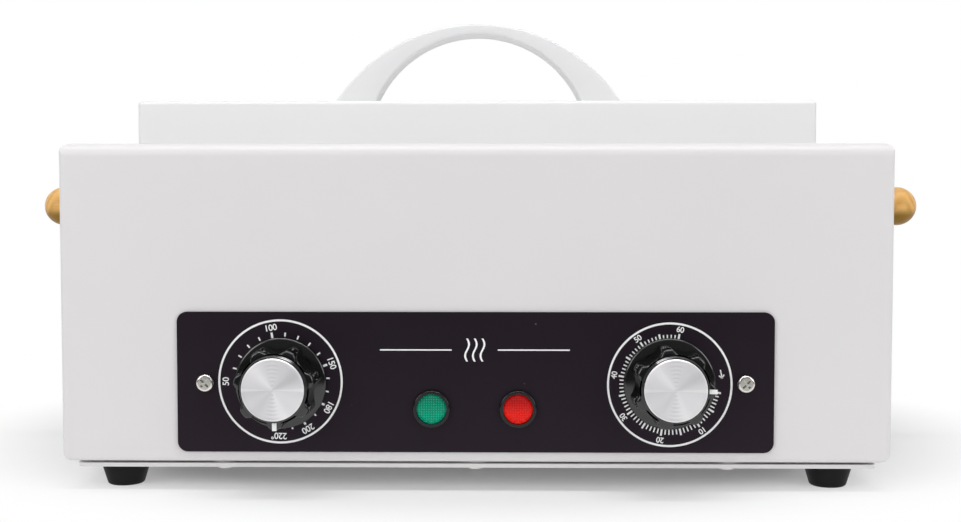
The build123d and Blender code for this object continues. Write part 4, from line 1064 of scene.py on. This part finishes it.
for dial, (x, rest) in dials.items():
    pointer = bmesh.new()
    add_bar(pointer, moved(pointer_radius, 0, grip_top), pointer_length, pointer_width)
    print_marks(f"{dial}_pointer", pointer, on_panel(x, dial_height, rest), f"{dial}_dial")


def add_wave(shape, x):
    """One rising, waving line, drawn as a strip that is pushed aside by a sine."""
    size = Matrix.Diagonal((wave_width * mm, wave_height * mm, 1, 1))
    strip = bmesh.ops.create_grid(shape, x_segments=1, y_segments=28, size=0.5, matrix=size)
    for vert in strip["verts"]:
        sway = wave_sway * math.sin(vert.co.y / mm / wave_height * 2 * math.pi)
        vert.co.x += (x + sway) * mm


heat_mark = bmesh.new()
for step in (-1, 0, 1):
    add_wave(heat_mark, step * wave_spacing)
for side in (-1, 1):
    add_bar(heat_mark, moved(side * side_line_middle), side_line_length, side_line_width)
print_marks("heat_mark", heat_mark, on_panel(0, heat_mark_height))

# %% [markdown]
# ## Lamp lenses
#
# The face of each lens is a field of little pyramids, which spread the lamp's glow to the sides.
# A grid whose faces are poked gives the pyramids, and the edge and the stem are turned. The cells
# of the grid are as wide as the cells of the finish, so that each painted highlight dot sits on a
# tip.

# %% Lenses
lens_radius = 5.75
lens_back = -0.7
field_radius = 5.3
field_height = 1.02
field_cells = 12
tip_height = 0.26
lip_inner_radius = 5.1
lip_foot = 1.0
lip_height = field_height + tip_height
lens_edge_height = 0.85
stem_radius = 4.9
stem_hollow = 3.9
stem_end = -6.7


def lens_shape():
    """A turned lip and a hollow stem, with the field of pyramids laid inside the lip."""
    lip = [(lip_inner_radius, lip_foot), (lip_inner_radius, lip_height),
           (field_radius, lip_height), (lens_radius, lens_edge_height), (lens_radius, lens_back)]
    stem = [(stem_radius, lens_back), (stem_radius, stem_end), (stem_hollow, stem_end),
            (stem_hollow, lens_back), (0, lens_back)]
    shape = turned(lip + stem, 96)
    grid = bmesh.ops.create_grid(shape, x_segments=field_cells, y_segments=field_cells,
                                 size=field_cells * facet_pitch / 2 * mm,
                                 matrix=moved(0, 0, field_height))
    faces = list({face for vert in grid["verts"] for face in vert.link_faces})
    outside = [face for face in faces if face.calc_center_median().xy.length > field_radius * mm]
    inside = [face for face in faces if face not in outside]
    bmesh.ops.delete(shape, geom=outside, context="FACES")
    tips = bmesh.ops.poke(shape, faces=inside)["verts"]
    bmesh.ops.translate(shape, vec=(0, 0, tip_height * mm), verts=tips)
    return shape


for colour in ("green", "red"):
    place = middle_of(f"{colour}_lamp_lens")
    lens = finish_piece(f"{colour}_jewel", lens_shape(), on_panel(place.x, place.z), "case",
                        finishes[f"{colour}_lens"], 12)
    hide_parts(f"{colour}_lamp_lens")
    print(lens.name, len(lens.data.polygons), "faces")
